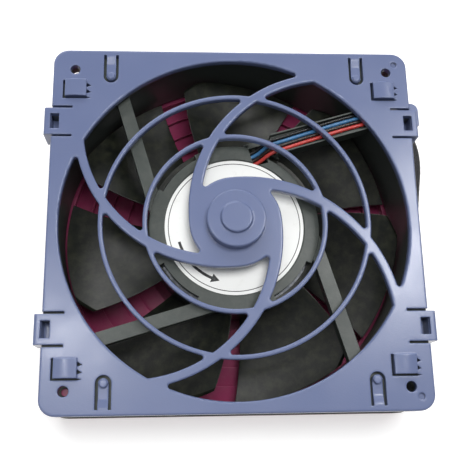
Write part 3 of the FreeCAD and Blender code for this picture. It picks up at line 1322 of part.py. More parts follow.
def make_connector():
    flange_top = frame_bottom + size.flange_thickness
    low = flange_top + size.connector_lift
    high = low + size.connector_height
    middle_x = half_width - size.connector_side
    middle_z = (low + high) / 2
    back = size.connector_back - half_width
    front = back - size.connector_length
    count = int(float(size.contact_count))
    columns = [middle_x + (number - (count - 1) / 2) * size.contact_pitch for number in range(count)]

    body = new_body("connector_housing")
    drawing = Drawing(body, XZ, -back)
    half = size.connector_width / 2
    drawing.box(middle_x - half, middle_x + half, low, high)
    pad(body, drawing, size.connector_length)
    drawing = Drawing(body, XZ, -front)
    hole = size.contact_hole / 2
    for x in columns:
        drawing.box(x - hole, x + hole, middle_z - hole, middle_z + hole)
    pocket(body, drawing, size.contact_depth)
    drawing = Drawing(body, XY, high)
    half_key = size.key_width / 2
    drawing.box(middle_x - half_key, middle_x + half_key, front, back - size.key_inset)
    pad(body, drawing, size.key_height)

    contacts = []
    half_contact = size.contact_size / 2
    for number, x in enumerate(columns, start=1):
        contact = doc.addObject("Part::Box", f"contact_{number}")
        bind(contact, "Length", size.contact_size)
        bind(contact, "Width", size.contact_depth - size.contact_recess)
        bind(contact, "Height", size.contact_size)
        contact.setExpression("Placement.Base.x", (x - half_contact).text)
        contact.setExpression("Placement.Base.y", (front + size.contact_recess).text)
        contact.setExpression("Placement.Base.z", (middle_z - half_contact).text)
        contacts.append(contact)
    group = doc.addObject("Part::Compound", "connector_contacts")
    group.Links = contacts
    group.Label = "connector_contacts"

    # the cradle stands on the frame's lower flange and holds the housing
    body = new_body("connector_cradle")
    drawing = Drawing(body, XY, flange_top)
    outside = half + size.cradle_wall
    drawing.box(middle_x - outside, middle_x + outside, front + size.cradle_inset,
                back - size.cradle_inset)
    pad(body, drawing, size.connector_lift + size.cradle_height)
    drawing = Drawing(body, XZ, -back)
    drawing.box(middle_x - half, middle_x + half, low, high)
    pocket(body, drawing, size.connector_length, up=True)
    drawing = Drawing(body, XY, flange_top)
    drawing.circle(hole_offset, -hole_offset, peg_radius + size.peg_barb + size.peg_clearance)
    pocket(body, drawing, size.peg_barb_height + size.peg_clearance, up=True)


# --------------------------------------------------------------------------------------
# Build, check and write every node
# --------------------------------------------------------------------------------------
make_exhaust_guard()
make_inlet_guard()
make_fan_frame()
make_impeller()
make_rotor_parts()
make_bearings()
make_stator()
make_leads()
make_connector()
doc.recompute()

NODES = [
    "exhaust_guard", "inlet_guard", "fan_frame", "motor_label", "bearing_tube", "stator_core",
    "lower_insulator", "upper_insulator", "stator_coils", "circuit_board", "board_components",
    "hall_sensor", "lower_bearing_outer_ring", "upper_bearing_outer_ring", "lead_black",
    "lead_blue", "lead_brown", "lead_red", "lead_sleeve", "connector_housing",
    "connector_contacts", "connector_cradle", "impeller", "rotor_yoke", "rotor_magnet", "shaft",
    "shaft_bush", "retaining_ring", "preload_washer", "lower_bearing_inner_ring",
    "upper_bearing_inner_ring", "lower_bearing_balls", "lower_bearing_cage",
    "upper_bearing_balls", "upper_bearing_cage"]

for item in doc.Objects:
    if "Invalid" in item.State or "Error" in item.State:
        raise ValueError(f"{item.Label} did not build")
    if item.TypeId in ("PartDesign::Pocket", "PartDesign::Groove"):
        if item.Shape.Volume > item.BaseFeature.Shape.Volume - 1e-3:
            raise ValueError(f"{item.Label} cuts nothing")

os.makedirs("parts", exist_ok=True)
for name in NODES:
    shape = doc.getObjectsByLabel(name)[0].Shape
    if shape.isNull() or not shape.isValid():
        raise ValueError(f"{name} has no valid shape")
    shape.exportStep(f"parts/{name}.step")
    print(f"{name}: {len(shape.Solids)} solids, {shape.Volume:.1f} mm3")
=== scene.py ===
"""Looks of the server fan module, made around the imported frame. Lengths are in metres."""

import math

import bpy
from mathutils import Matrix, Vector


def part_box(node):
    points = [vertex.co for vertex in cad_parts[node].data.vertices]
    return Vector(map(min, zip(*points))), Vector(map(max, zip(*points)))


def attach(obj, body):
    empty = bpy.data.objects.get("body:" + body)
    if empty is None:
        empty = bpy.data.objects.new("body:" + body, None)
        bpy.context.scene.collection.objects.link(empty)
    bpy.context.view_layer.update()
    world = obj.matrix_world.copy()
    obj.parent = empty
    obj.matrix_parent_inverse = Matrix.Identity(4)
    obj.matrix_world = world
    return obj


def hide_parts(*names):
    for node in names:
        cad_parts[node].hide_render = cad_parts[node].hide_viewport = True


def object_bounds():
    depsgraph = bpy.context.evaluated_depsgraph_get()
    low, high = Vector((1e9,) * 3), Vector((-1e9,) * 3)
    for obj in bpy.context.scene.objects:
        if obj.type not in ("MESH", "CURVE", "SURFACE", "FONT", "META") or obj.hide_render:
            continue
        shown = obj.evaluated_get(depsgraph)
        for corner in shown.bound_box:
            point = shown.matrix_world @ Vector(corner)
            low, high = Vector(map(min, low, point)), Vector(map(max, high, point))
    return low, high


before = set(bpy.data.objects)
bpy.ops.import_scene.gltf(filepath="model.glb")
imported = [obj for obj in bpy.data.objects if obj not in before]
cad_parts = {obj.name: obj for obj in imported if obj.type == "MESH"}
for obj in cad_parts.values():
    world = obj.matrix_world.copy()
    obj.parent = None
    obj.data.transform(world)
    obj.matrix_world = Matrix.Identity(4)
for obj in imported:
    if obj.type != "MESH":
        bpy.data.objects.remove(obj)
cad_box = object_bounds()
MM = 0.001


# --------------------------------------------------------------------------------------
# Node helpers
# --------------------------------------------------------------------------------------
def srgb(red, green, blue):
    """A colour given as 0 to 255 screen values, in linear light."""
    def linear(value):
        share = value / 255
        return share / 12.92 if share <= 0.04045 else ((share + 0.055) / 1.055) ** 2.4
    return (linear(red), linear(green), linear(blue), 1.0)


def toned(colour, share):
    """A colour made lighter or darker by a share."""
    return tuple(min(channel * share, 1.0) for channel in colour[:3]) + (1.0,)


class Finish:
    """A material made of nodes, laid out in the object's own coordinates."""

    def __init__(self, name):
        self.material = bpy.data.materials.new(name)
        self.material.use_nodes = True
        self.nodes = self.material.node_tree.nodes
        self.links = self.material.node_tree.links
        self.shader = self.nodes["Principled BSDF"]
        self.place = self.nodes.new("ShaderNodeTexCoord").outputs["Object"]

    def fill(self, socket, value):
        """Link a socket or set its value."""
        if isinstance(value, bpy.types.NodeSocket):
            self.links.new(value, socket)
        else:
            socket.default_value = value

    def calculate(self, operation, first, second=0.0):
        """One step of arithmetic."""
        node = self.nodes.new("ShaderNodeMath")
        node.operation = operation
        self.fill(node.inputs[0], first)
        self.fill(node.inputs[1], second)
        return node.outputs[0]

    def axes(self):
        """The three coordinates of the object's own space."""
        node = self.nodes.new("ShaderNodeSeparateXYZ")
        self.links.new(self.place, node.inputs[0])
        return node.outputs

    def stretched(self, x, y, z):
        """The object's space scaled along each axis."""
        node = self.nodes.new("ShaderNodeMapping")
        node.inputs["Scale"].default_value = (x, y, z)
        self.links.new(self.place, node.inputs["Vector"])
        return node.outputs[0]

    def noise(self, size, detail=2.0, roughness=0.5, space=None):
        """Soft random patches of about a size."""
        node = self.nodes.new("ShaderNodeTexNoise")
        node.inputs["Scale"].default_value = 1 / size
        node.inputs["Detail"].default_value = detail
        node.inputs["Roughness"].default_value = roughness
        self.links.new(space or self.place, node.inputs["Vector"])
        return node.outputs["Fac"]

    def cells(self, size):
        """Distance to the nearest of scattered points, about a size apart."""
        node = self.nodes.new("ShaderNodeTexVoronoi")
        node.inputs["Scale"].default_value = 1 / size
        self.links.new(self.place, node.inputs["Vector"])
        return node.outputs["Distance"]

    def stripes(self, coordinate, pitch):
        """A wave from 0 to 1 along a coordinate."""
        turns = self.calculate("MULTIPLY", coordinate, 2 * math.pi / pitch)
        wave = self.calculate("SINE", turns)
        return self.span(wave, -1, 1, 0, 1)

    def span(self, value, low, high, new_low, new_high):
        """A value's range moved to another, and held there."""
        node = self.nodes.new("ShaderNodeMapRange")
        self.links.new(value, node.inputs["Value"])
        limits = ("From Min", "From Max", "To Min", "To Max")
        for socket, limit in zip(limits, (low, high, new_low, new_high)):
            node.inputs[socket].default_value = limit
        return node.outputs["Result"]

    def mix(self, share, first, second):
        """Two colours mixed."""
        node = self.nodes.new("ShaderNodeMix")
        node.data_type = "RGBA"
        self.fill(node.inputs["Factor"], share)
        self.fill(node.inputs["A"], first)
        self.fill(node.inputs["B"], second)
        return node.outputs["Result"]

    def soft_edges(self, radius):
        """Normals rounded over every edge, and where those edges are, from 0 to 1."""
        bevel = self.nodes.new("ShaderNodeBevel")
        bevel.samples = 6
        bevel.inputs["Radius"].default_value = radius
        flat = self.nodes.new("ShaderNodeNewGeometry")
        agreement = self.nodes.new("ShaderNodeVectorMath")
        agreement.operation = "DOT_PRODUCT"
        self.links.new(bevel.outputs[0], agreement.inputs[0])
        self.links.new(flat.outputs["Normal"], agreement.inputs[1])
        edge = self.span(agreement.outputs["Value"], 1.0, 0.86, 0.0, 1.0)
        return bevel.outputs[0], edge

    def facing_up(self):
        """How far a surface looks up, from 0 to 1."""
        geometry = self.nodes.new("ShaderNodeNewGeometry")
        node = self.nodes.new("ShaderNodeSeparateXYZ")
        self.links.new(geometry.outputs["Normal"], node.inputs[0])
        return self.span(node.outputs["Z"], 0.2, 0.95, 0.0, 1.0)

    def bump(self, height, depth, normal=None):
        """Relief of a depth in metres."""
        node = self.nodes.new("ShaderNodeBump")
        node.inputs["Strength"].default_value = 1.0
        node.inputs["Distance"].default_value = depth
        self.links.new(height, node.inputs["Height"])
        if normal is not None:
            self.links.new(normal, node.inputs["Normal"])
        return node.outputs[0]

    def finish(self, colour, roughness, normal=None, **constants):
        """Wire the shader and give the material."""
        self.fill(self.shader.inputs["Base Color"], colour)
        self.fill(self.shader.inputs["Roughness"], roughness)
        if normal is not None:
            self.links.new(normal, self.shader.inputs["Normal"])
        for name, value in constants.items():
            self.shader.inputs[name.replace("_", " ")].default_value = value
        return self.material


# --------------------------------------------------------------------------------------
# Materials
# --------------------------------------------------------------------------------------
FLOW_SIZE = 22 * MM         # flow marks of moulded plastic
EDGE_SPOT_SIZE = 1.1 * MM         # spots of the painted edge highlight and rubbing along its edges
DUST_SIZE = 3.2 * MM        # patches of dust
SMEAR_SIZE = 12 * MM        # patches that shine more or less
SMEAR_SHINE = 0.03          # roughness lost where it shines most
SMEAR_DULLNESS = 0.045      # roughness gained where it shines least
GRAIN_DEPTH = 0.035         # depth of the grain, as a share of its size
PALE_DUST = srgb(150, 147, 138)


def moulded(name, colour, *, gloss, grain, edge_highlight_and_wear_tone, edge_radius, dust=0.0, mottle=0.05,
            dust_tone=PALE_DUST, **constants):
    """Moulded plastic: faint flow marks, a fine grain, edges lightened as a painted highlight and
    rubbing, and a little dust.
    """
    made = Finish(name)
    flow = made.noise(FLOW_SIZE, 3.0, space=made.stretched(1.0, 1.6, 1.0))
    specks = made.noise(EDGE_SPOT_SIZE, 2.0)
    rounded, edge = made.soft_edges(edge_radius)
    base = made.mix(flow, toned(colour, 1 - mottle), toned(colour, 1 + mottle))
    # Edges lightened in specks: a painted highlight along every edge, partly rubbing wear.
    edge_highlight_and_wear = made.calculate("MULTIPLY", edge, made.span(specks, 0.3, 0.7, 0.35, 1.0))
    base = made.mix(edge_highlight_and_wear, base, toned(colour, edge_highlight_and_wear_tone))
    if dust:
        fluff = made.span(made.noise(DUST_SIZE, 4.0, 0.65), 0.42, 0.75, 0.0, dust)
        lying = made.calculate("MULTIPLY", fluff, made.facing_up())
        base = made.mix(lying, base, dust_tone)
    smear = made.noise(SMEAR_SIZE, 2.0)
    roughness = made.span(smear, 0.3, 0.7, gloss - SMEAR_SHINE, gloss + SMEAR_DULLNESS)
    fine = made.noise(grain, 2.0)
    normal = made.bump(fine, grain * GRAIN_DEPTH, rounded)
    return made.finish(base, roughness, normal, **constants)


def blue_violet_plastic(name):
    return moulded(name, srgb(100, 111, 146), gloss=0.22, grain=0.5 * MM, edge_highlight_and_wear_tone=1.4,
                   edge_radius=0.7 * MM, mottle=0.035, Specular_IOR_Level=0.6)


def maroon_plastic(name):
    return moulded(name, srgb(140, 52, 88), gloss=0.32, grain=0.5 * MM, edge_highlight_and_wear_tone=1.35,
                   edge_radius=0.35 * MM, dust=0.08, Specular_IOR_Level=0.6)


def black_plastic(name):
    return moulded(name, srgb(61, 67, 64), gloss=0.36, grain=0.6 * MM, edge_highlight_and_wear_tone=1.4,
                   edge_radius=0.3 * MM, dust=0.08)


def black_blade_plastic(name):
    return moulded(name, srgb(15, 18, 15), gloss=0.38, grain=0.7 * MM, edge_highlight_and_wear_tone=3.0,
                   edge_radius=0.3 * MM, dust=0.10, mottle=0.2, dust_tone=srgb(126, 128, 98),
                   Specular_IOR_Level=0.6)


def white_label(name):
    """Printed film: satin white with a faint pull and warmer, dusty patches."""
    made = Finish(name)
    wander = made.noise(14 * MM, 3.0)
    base = made.mix(wander, srgb(232, 233, 230), srgb(245, 246, 244))
    grime = made.span(made.noise(2.4 * MM, 4.0, 0.6), 0.58, 0.8, 0.0, 0.22)
    base = made.mix(grime, base, srgb(196, 192, 182))
    normal = made.bump(made.noise(5 * MM, 2.0), 0.05 * MM)
    return made.finish(base, made.span(wander, 0.3, 0.7, 0.34, 0.46), normal)


def turned_metal(name, colour, tarnish, *, roughness, pitch, depth):
    """Metal turned about Z: fine lathe lines along and around the axis, with a little tarnish."""
    made = Finish(name)
    x, y, z = made.axes()
    radius = made.calculate("SQRT", made.calculate(
        "ADD", made.calculate("MULTIPLY", x, x), made.calculate("MULTIPLY", y, y)))
    reach = made.calculate("ADD", radius, z)
    wobble = made.calculate("MULTIPLY", made.noise(2 * MM, 3.0), pitch * 2)
    lines = made.stripes(made.calculate("ADD", reach, wobble), pitch)
    stain = made.span(made.noise(1.6 * MM, 4.0, 0.6), 0.4, 0.75, 0.0, 1.0)
    base = made.mix(stain, colour, tarnish)
    rounded, _ = made.soft_edges(0.12 * MM)
    normal = made.bump(lines, depth, rounded)
    return made.finish(base, made.span(stain, 0.0, 1.0, roughness, roughness + 0.15), normal,
                       Metallic=1.0)


def brass(name):
    return turned_metal(name, srgb(214, 182, 112), srgb(168, 132, 76), roughness=0.26,
                        pitch=0.12 * MM, depth=0.004 * MM)


def contact_brass(name):
    return turned_metal(name, srgb(222, 205, 156), srgb(180, 160, 120), roughness=0.22,
                        pitch=0.30 * MM, depth=0.003 * MM)


def zinc_steel(name):
    """Zinc plate: a fine spangle over drawn steel."""
    made = Finish(name)
    spangle = made.cells(1.4 * MM)
    shade = made.span(spangle, 0.0, 0.8, 0.0, 1.0)
    base = made.mix(shade, srgb(112, 114, 118), srgb(88, 91, 96))
    drawn = made.noise(0.6 * MM, 3.0, space=made.stretched(1.0, 1.0, 0.08))
    rounded, _ = made.soft_edges(0.2 * MM)
    normal = made.bump(drawn, 0.01 * MM, rounded)
    return made.finish(base, made.span(shade, 0.0, 1.0, 0.30, 0.42), normal, Metallic=1.0)


def ground_steel(name):
    return turned_metal(name, srgb(206, 208, 212), srgb(176, 178, 182), roughness=0.16,
                        pitch=0.08 * MM, depth=0.002 * MM)


def bearing_steel(name):
    return turned_metal(name, srgb(218, 220, 224), srgb(196, 198, 202), roughness=0.10,
                        pitch=0.05 * MM, depth=0.001 * MM)


def spring_steel(name):
    return turned_metal(name, srgb(96, 100, 118), srgb(70, 66, 70), roughness=0.28,
                        pitch=0.20 * MM, depth=0.003 * MM)


def silicon_steel(name):
    """Stacked laminations, each with its own tone, and dark lines of varnish between."""
    made = Finish(name)
    sheet = 0.5 * MM
    _, _, z = made.axes()
    gap = made.span(made.stripes(z, sheet), 0.0, 0.25, 1.0, 0.0)
    tone = made.noise(sheet, 1.0, space=made.stretched(0.02, 0.02, 1.0))
    base = made.mix(tone, srgb(122, 124, 130), srgb(166, 168, 172))
    rust = made.span(made.noise(2 * MM, 4.0, 0.65), 0.58, 0.72, 0.0, 0.5)
    base = made.mix(rust, base, srgb(120, 84, 58))
    base = made.mix(gap, base, srgb(40, 36, 34))
    normal = made.bump(made.stripes(z, sheet), 0.03 * MM)
    return made.finish(base, 0.42, normal, Metallic=0.85)


def nylon(name):
    return moulded(name, srgb(226, 223, 208), gloss=0.42, grain=0.4 * MM, edge_highlight_and_wear_tone=1.1,
                   edge_radius=0.2 * MM, mottle=0.04, Subsurface_Weight=0.08)


def enamelled_copper(name):
    """Wound wire: one round stripe for each turn, laid along each tooth, darkened towards the
    grooves between turns as painted shade.
    """
    made = Finish(name)
    wire = 0.42 * MM
    x, y, _ = made.axes()
    outward = made.calculate(
        "MAXIMUM", made.calculate("ABSOLUTE", x), made.calculate("ABSOLUTE", y))
    waver = made.calculate("MULTIPLY", made.noise(3 * MM), 0.25 * MM)
    turns = made.stripes(made.calculate("ADD", outward, waver), wire)
    # The dark end of each stripe is painted shade in the groove between turns.
    shade = made.span(turns, 0.0, 0.6, 0.0, 1.0)
    base = made.mix(shade, srgb(84, 34, 16), srgb(196, 104, 52))
    patch = made.span(made.noise(4 * MM, 3.0), 0.4, 0.7, 0.0, 0.35)
    base = made.mix(patch, base, srgb(150, 66, 34))
    normal = made.bump(turns, 0.14 * MM)
    return made.finish(base, 0.28, normal, Metallic=0.45, Coat_Weight=0.6, Coat_Roughness=0.12)


def circuit_board(name):
    """Solder resist over copper traces, with tinned vias."""
    made = Finish(name)
    x, y, _ = made.axes()
    bend = made.calculate("MULTIPLY", made.noise(9 * MM, 1.0), 14 * MM)
    trace = made.span(made.stripes(made.calculate("ADD", x, bend), 1.9 * MM), 0.62, 0.7, 0.0, 1.0)
    cross = made.span(made.stripes(made.calculate("ADD", y, bend), 3.7 * MM), 0.8, 0.86, 0.0, 1.0)
    copper = made.calculate("MAXIMUM", trace, cross)
    base = made.mix(copper, srgb(18, 74, 44), srgb(40, 118, 66))
    via = made.span(made.cells(3.1 * MM), 0.16, 0.19, 1.0, 0.0)
    base = made.mix(via, base, srgb(196, 196, 186))
    relief = made.calculate("ADD", copper, via)
    normal = made.bump(relief, 0.035 * MM)
    return made.finish(base, made.span(via, 0.0, 1.0, 0.30, 0.22), normal, Coat_Weight=0.4)


def black_component(name):
    return moulded(name, srgb(34, 34, 36), gloss=0.5, grain=0.2 * MM, edge_highlight_and_wear_tone=1.8,
                   edge_radius=0.08 * MM, mottle=0.1)


def insulation(name, colour, dark):
    """Extruded insulation: long faint draw lines, a soft gloss and a little grime."""
    made = Finish(name)
    drawn = made.noise(0.35 * MM, 2.0, space=made.stretched(0.05, 1.0, 1.0))
    grime = made.span(made.noise(2.2 * MM, 4.0, 0.6), 0.45, 0.75, 0.0, 0.6)
    base = made.mix(drawn, toned(colour, 0.88), toned(colour, 1.1))
    base = made.mix(grime, base, dark)
    normal = made.bump(drawn, 0.012 * MM)
    return made.finish(base, made.span(grime, 0.0, 0.6, 0.26, 0.42), normal)


def black_insulation(name):
    return insulation(name, srgb(20, 21, 23), srgb(34, 34, 34))


def blue_insulation(name):
    return insulation(name, srgb(62, 112, 156), srgb(40, 70, 96))


def brown_insulation(name):
    return insulation(name, srgb(40, 26, 22), srgb(26, 21, 20))


def red_insulation(name):
    return insulation(name, srgb(184, 62, 58), srgb(128, 46, 44))


def braided_sleeve(name):
    """Polyester yarn: fine filaments along each strand and a soft sheen."""
    made = Finish(name)
    uv = made.nodes.new("ShaderNodeUVMap")
    uv.uv_map = "along"
    node = made.nodes.new("ShaderNodeMapping")
    node.inputs["Scale"].default_value = (6.0, 0.2, 1.0)
    made.links.new(uv.outputs[0], node.inputs["Vector"])
    filaments = made.noise(1.0, 2.0, space=node.outputs[0])
    patch = made.noise(3 * MM, 3.0)
    base = made.mix(filaments, srgb(20, 20, 22), srgb(46, 46, 50))
    base = made.mix(made.span(patch, 0.5, 0.8, 0.0, 0.35), base, srgb(74, 73, 72))
    normal = made.bump(filaments, 0.05 * MM)
    return made.finish(base, 0.52, normal, Sheen_Weight=0.25, Sheen_Roughness=0.4)


def connector_nylon(name):
    return moulded(name, srgb(46, 46, 48), gloss=0.38, grain=0.3 * MM, edge_highlight_and_wear_tone=1.8,
                   edge_radius=0.15 * MM, mottle=0.06)


def ferrite(name):
    """Plastic-bonded ferrite: dull, dark and speckled."""
    made = Finish(name)
    speck = made.noise(0.25 * MM, 4.0, 0.7)
    base = made.mix(speck, srgb(44, 42, 42), srgb(96, 92, 90))
    rounded, edge = made.soft_edges(0.2 * MM)
    # Edges lightened: a painted highlight along the edges.
    base = made.mix(made.calculate("MULTIPLY", edge, 0.5), base, srgb(120, 116, 112))
    normal = made.bump(speck, 0.02 * MM, rounded)
    return made.finish(base, 0.6, normal)


def printing_ink(name):
    """Screen ink: near black, thinner where it wore."""
    made = Finish(name)
    wear = made.span(made.noise(0.8 * MM, 4.0, 0.7), 0.5, 0.8, 0.0, 0.55)
    base = made.mix(wear, srgb(30, 31, 33), srgb(120, 121, 122))
    return made.finish(base, made.span(wear, 0.0, 0.55, 0.38, 0.5))


FINISHES = [
    blue_violet_plastic, maroon_plastic, black_plastic, black_blade_plastic, white_label, brass,
    silicon_steel, nylon, enamelled_copper, circuit_board, black_component, black_insulation,
    blue_insulation, brown_insulation, red_insulation, braided_sleeve, connector_nylon,
    contact_brass, zinc_steel, ferrite, ground_steel, spring_steel, bearing_steel]


def dress_frame():
    """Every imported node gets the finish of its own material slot."""
    finishes = {make.__name__: make for make in FINISHES}
    made = {}
    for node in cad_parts.values():
        name = node.material_slots[0].material.name
        if name not in made:
            made[name] = finishes[name](f"finish_{name}")
        node.material_slots[0].material = made[name]
    return made


# --------------------------------------------------------------------------------------
# Mesh helpers
# --------------------------------------------------------------------------------------
def new_piece(name, corners, faces, material, body):
    """A mesh that rides on a body and takes its finish from a slot."""
    mesh = bpy.data.meshes.new(name)
    mesh.from_pydata(corners, [], faces)
    mesh.validate()
    piece = bpy.data.objects.new(name, mesh)
    bpy.context.scene.collection.objects.link(piece)
    mesh.materials.append(material)
    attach(piece, body)
    return piece


def flat_ribbon(inner_line, outer_line, low, high):
    """Corners and faces of a thin band between two lines of (x, y) points."""
    corners = []
    for inner, outer in zip(inner_line, outer_line):
        corners += [(*inner, low), (*outer, low), (*outer, high), (*inner, high)]
    faces = [(3, 2, 1, 0)]
    for ring in range(len(inner_line) - 1):
        here, there = ring * 4, ring * 4 + 4
        faces += [(here + side, here + (side + 1) % 4, there + (side + 1) % 4, there + side)
                  for side in range(4)]
    last = len(corners) - 4
    faces.append((last, last + 1, last + 2, last + 3))
    return corners, faces


def around_axis(radius, degrees):
    """A point at a radius and a direction."""
    turn = math.radians(degrees)
    return (radius * math.cos(turn), radius * math.sin(turn))


# --------------------------------------------------------------------------------------
# Label print: a border and a rotation arrow
# --------------------------------------------------------------------------------------
INK_THICKNESS = 0.03 * MM
BORDER_OUTSIDE = 1.05 * MM      # edge of the label to the border
BORDER_INSIDE = 1.3 * MM
ARROW_INSET = 4.0 * MM          # edge of the label to the middle of the arrow
ARROW_HALF_WIDTH = 0.45 * MM
ARROW_WING = 1.5 * MM           # half of the arrow head's width
ARROW_START = 196               # degrees
ARROW_NECK = 246
ARROW_TIP = 254
ARC_STEP = 3                    # degrees from one corner of an arc to the next


def print_label(ink):
    """Generic marks on the motor label, each a film of ink."""
    _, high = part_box("motor_label")
    edge = high.x
    under, over = high.z, high.z + INK_THICKNESS

    def arc(name, inner, outer, start, end):
        steps = round((end - start) / ARC_STEP)
        turns = [start + (end - start) * step / steps for step in range(steps + 1)]
        corners, faces = flat_ribbon([around_axis(inner, turn) for turn in turns],
                                     [around_axis(outer, turn) for turn in turns], under, over)
        return new_piece(name, corners, faces, ink, "housing")

    arc("label_border", edge - BORDER_INSIDE, edge - BORDER_OUTSIDE, 0, 360)
    middle = edge - ARROW_INSET
    arc("label_arrow_shaft", middle - ARROW_HALF_WIDTH, middle + ARROW_HALF_WIDTH,
        ARROW_START, ARROW_NECK)
    tip = around_axis(middle, ARROW_TIP)
    wings = [around_axis(middle + wing, ARROW_NECK) for wing in (-ARROW_WING, ARROW_WING)]
    corners = [(*point, level) for level in (under, over) for point in (tip, *wings)]
    faces = [(0, 1, 2), (5, 4, 3), (0, 3, 4, 1), (1, 4, 5, 2), (2, 5, 3, 0)]
    new_piece("label_arrow_head", corners, faces, ink, "housing")


# --------------------------------------------------------------------------------------
# Braided sleeve around the leads
# --------------------------------------------------------------------------------------
SLEEVE_ROUTE = [
    (51.2, 39.7, 25.6), (54.2, 41.3, 22.0), (58.6, 40.9, 19.4), (62.2, 36.8, 18.4),
    (64.5, 30.6, 18.4), (64.8, 23.6, 18.5), (63.5, 15.6, 18.6), (62.3, 6.5, 18.5),
    (62.1, -5.0, 18.4), (62.3, -18.0, 18.4), (62.0, -29.5, 18.5), (59.6, -36.6, 18.5),
    (55.6, -40.0, 18.5), (52.7, -42.4, 18.5), (52.7, -46.0, 18.5)]
SLEEVE_RADIUS = 2.22 * MM
SLEEVE_STEP = 0.4 * MM          # from one ring of corners to the next
STRANDS = 16                    # each way round
STRAND_LAY = 16 * MM            # length in which a strand goes once round
STRAND_HALF_WIDTH = 0.40 * MM
STRAND_THICKNESS = 0.16 * MM
STRAND_SECTION = ((-1, 0), (-0.5, 0.8), (0.5, 0.8), (1, 0), (0, -0.4))
WEAVE_DEPTH = 0.9 * STRAND_THICKNESS
LINER_RADIUS = SLEEVE_RADIUS - 2.2 * STRAND_THICKNESS
LINER_SIDES = 24


def smooth_route(name, points):
    """Points along the smooth curve of a route, a sleeve step apart."""
    curve = bpy.data.curves.new(name, "CURVE")
    curve.dimensions = "3D"
    spline = curve.splines.new("NURBS")
    spline.points.add(len(points) - 1)
    for control, point in zip(spline.points, points):
        control.co = (*(value * MM for value in point), 1.0)
    spline.order_u = 3
    spline.use_endpoint_u = True
    spline.resolution_u = 24
    carrier = bpy.data.objects.new(name, curve)
    bpy.context.scene.collection.objects.link(carrier)
    bpy.context.view_layer.update()
    line = [vertex.co.copy() for vertex in bpy.data.meshes.new_from_object(carrier).vertices]
    bpy.data.objects.remove(carrier)
    even = [line[0]]
    travelled = 0.0
    for start, end in zip(line, line[1:]):
        length = (end - start).length
        while travelled + length >= SLEEVE_STEP:
            share = (SLEEVE_STEP - travelled) / length
            start = start.lerp(end, share)
            even.append(start.copy())
            length = (end - start).length
            travelled = 0.0
        travelled += length
    even.append(line[-1])
    return even


def carried_frames(line):
    """At each point of a line, two directions across it that turn as little as they can."""
    tangents = [(line[min(i + 1, len(line) - 1)] - line[max(i - 1, 0)]).normalized()
                for i in range(len(line))]
    side = tangents[0].orthogonal().normalized()
    frames = []
    for tangent in tangents:
        side = (side - tangent * side.dot(tangent)).normalized()
        frames.append((side, tangent.cross(side)))
    return frames


def tube_faces(first, rings, sides):
    """Faces of a closed tube whose rings of corners follow each other from a first corner."""
    faces = []
    for here in range(first, first + (rings - 1) * sides, sides):
        faces += [(here + side, here + (side + 1) % sides,
                   here + sides + (side + 1) % sides, here + sides + side)
                  for side in range(sides)]
    last = first + (rings - 1) * sides
    faces.append(tuple(first + side for side in reversed(range(sides))))
    faces.append(tuple(last + side for side in range(sides)))
    return faces


def braid_sleeve(material):
    """Flat strands that cross over and under each other around a liner."""
    line = smooth_route("sleeve_route", SLEEVE_ROUTE)
    frames = carried_frames(line)
    corners, faces, uvs = [], [], []

    def add_corner(index, angle, reach, across):
        side, up = frames[index]
        corners.append(line[index] + (side * math.cos(angle) + up * math.sin(angle)) * reach)
        uvs.append((across, index * SLEEVE_STEP / MM))

    for way in (1, -1):
        for strand in range(STRANDS):
            faces += tube_faces(len(corners), len(line), len(STRAND_SECTION))
            for index in range(len(line)):
                turn = (2 * math.pi * strand / STRANDS
                        + way * 2 * math.pi * index * SLEEVE_STEP / STRAND_LAY)
                crossing = turn * STRANDS if way == 1 else turn * STRANDS + math.pi
                weave = 0.5 + 0.5 * math.sin(crossing + strand * math.pi)
                radius = SLEEVE_RADIUS - WEAVE_DEPTH * (1 + weave)
                for across, rise in STRAND_SECTION:
                    angle = turn + across * STRAND_HALF_WIDTH / radius
                    add_corner(index, angle, radius + rise * STRAND_THICKNESS, across)
    faces += tube_faces(len(corners), len(line), LINER_SIDES)
    for index in range(len(line)):
        for number in range(LINER_SIDES):
            angle = 2 * math.pi * number / LINER_SIDES
            add_corner(index, angle, LINER_RADIUS, number)
    piece = new_piece("sleeve_braid", corners, faces, material, "housing")
    layer = piece.data.uv_layers.new(name="along")
    for loop in piece.data.loops:
        layer.data[loop.index].uv = uvs[loop.vertex_index]
    for face in piece.data.polygons:
        face.use_smooth = True
    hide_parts("lead_sleeve")


# --------------------------------------------------------------------------------------
# Floor, light and camera
# --------------------------------------------------------------------------------------
FLOOR_SIDE = 6          # metres
FLOOR_GLOW = 0.45       # added to the floor where the camera sees it
SKY_FILL = 0.20         # strength of the sky's light on the object
SKY_SEEN = 1.0          # strength at which the camera sees it


def lay_floor():
    """A plain pale floor that keeps the object's shadow and is near white to the camera."""
    bpy.ops.mesh.primitive_plane_add(size=FLOOR_SIDE, location=(0, 0, cad_box[0].z))
    floor = bpy.context.object
    floor.name = "floor"
    made = Finish("finish_floor")
    made.finish(srgb(236, 236, 236), 0.8)
    nodes, links = made.nodes, made.links
    path = nodes.new("ShaderNodeLightPath")
    glow = nodes.new("ShaderNodeEmission")
    glow.inputs["Color"].default_value = (1, 1, 1, 1)
    seen = made.calculate("MAXIMUM", path.outputs["Is Camera Ray"], path.outputs["Is Glossy Ray"])
    links.new(made.calculate("MULTIPLY", seen, FLOOR_GLOW), glow.inputs["Strength"])
    both = nodes.new("ShaderNodeAddShader")
    links.new(made.shader.outputs[0], both.inputs[0])
    links.new(glow.outputs[0], both.inputs[1])
    output = nodes["Material Output"]
    links.new(both.outputs[0], output.inputs["Surface"])
    floor.data.materials.append(made.material)


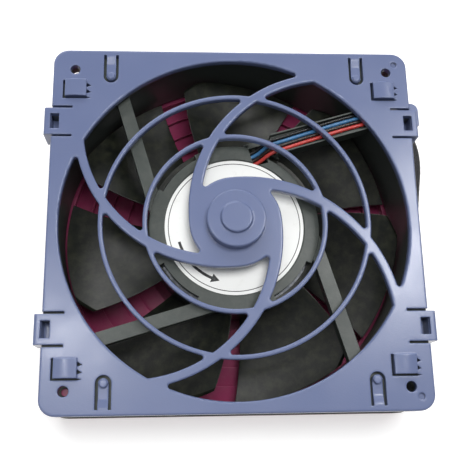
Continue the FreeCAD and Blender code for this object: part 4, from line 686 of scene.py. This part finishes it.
def fill_sky():
    """Even light from all round, and white to the camera."""
    world = bpy.data.worlds.new("sky")
    bpy.context.scene.world = world
    world.use_nodes = True
    nodes, links = world.node_tree.nodes, world.node_tree.links
    backdrop = nodes["Background"]
    path = nodes.new("ShaderNodeLightPath")
    strength = nodes.new("ShaderNodeMapRange")
    links.new(path.outputs["Is Camera Ray"], strength.inputs["Value"])
    strength.inputs["To Min"].default_value = SKY_FILL
    strength.inputs["To Max"].default_value = SKY_SEEN
    backdrop.inputs["Color"].default_value = (1, 1, 1, 1)
    links.new(strength.outputs["Result"], backdrop.inputs["Strength"])


def hang_lamp(name, place, aim, *, width, length, power, diffuse=True, gloss=True):
    """A soft panel that looks at a point. It may light surfaces, shine on them, or both."""
    lamp = bpy.data.lights.new(name, "AREA")
    lamp.shape = "RECTANGLE"
    lamp.size = width
    lamp.size_y = length
    lamp.energy = power
    holder = bpy.data.objects.new(name, lamp)
    bpy.context.scene.collection.objects.link(holder)
    holder.location = place
    holder.visible_diffuse = diffuse
    holder.visible_glossy = gloss
    holder.rotation_euler = (Vector(aim) - Vector(place)).to_track_quat("-Z", "Y").to_euler()


MOTOR_TOP = (0, 0, 0.03)        # where most lamps look


def light_rig():
    """Soft panels above and behind, and two lamps that only put a shine on the plate."""
    hang_lamp("ceiling_panel", (0.10, 0.10, 0.85), (0.02, 0, 0.03),
              width=0.40, length=0.40, power=5.2, gloss=False)
    hang_lamp("room_panel", (-0.30, -0.10, 0.95), MOTOR_TOP, width=0.8, length=0.8, power=1.4)
    hang_lamp("back_window", (-0.15, 0.75, 0.46), MOTOR_TOP, width=0.8, length=0.5, power=4.4)
    hang_lamp("side_glare", (0.30, 0.18, 0.66), (0.055, 0, 0.03),
              width=0.14, length=0.30, power=1.9, diffuse=False)
    hang_lamp("front_glare", (-0.17, 0.066, 0.82), (-0.05, -0.035, 0.03),
              width=0.09, length=0.09, power=0.5, diffuse=False)


CAMERA_LENS = 59.37
CAMERA_PLACE = Vector((-17.94 * MM, -64.53 * MM, 260.82 * MM))
CAMERA_FORWARD = Vector((0.0611, 0.2673, -0.9617))
CAMERA_UP = Vector((0.0014, 0.9634, 0.2679))


def aim_camera():
    """The viewing angle: nearly above the exhaust side, a little from the front left."""
    camera = bpy.data.cameras.new("camera")
    camera.lens = CAMERA_LENS
    holder = bpy.data.objects.new("camera", camera)
    bpy.context.scene.collection.objects.link(holder)
    forward = CAMERA_FORWARD.normalized()
    right = forward.cross(CAMERA_UP).normalized()
    up = right.cross(forward)
    turn = Matrix((right, up, -forward)).transposed()
    holder.matrix_world = Matrix.Translation(CAMERA_PLACE) @ turn.to_4x4()
    bpy.context.scene.camera = holder


finishes = dress_frame()
print_label(printing_ink("finish_printing_ink"))
braid_sleeve(finishes["braided_sleeve"])
lay_floor()
fill_sky()
light_rig()
aim_camera()
bpy.context.scene.view_settings.view_transform = "Standard"
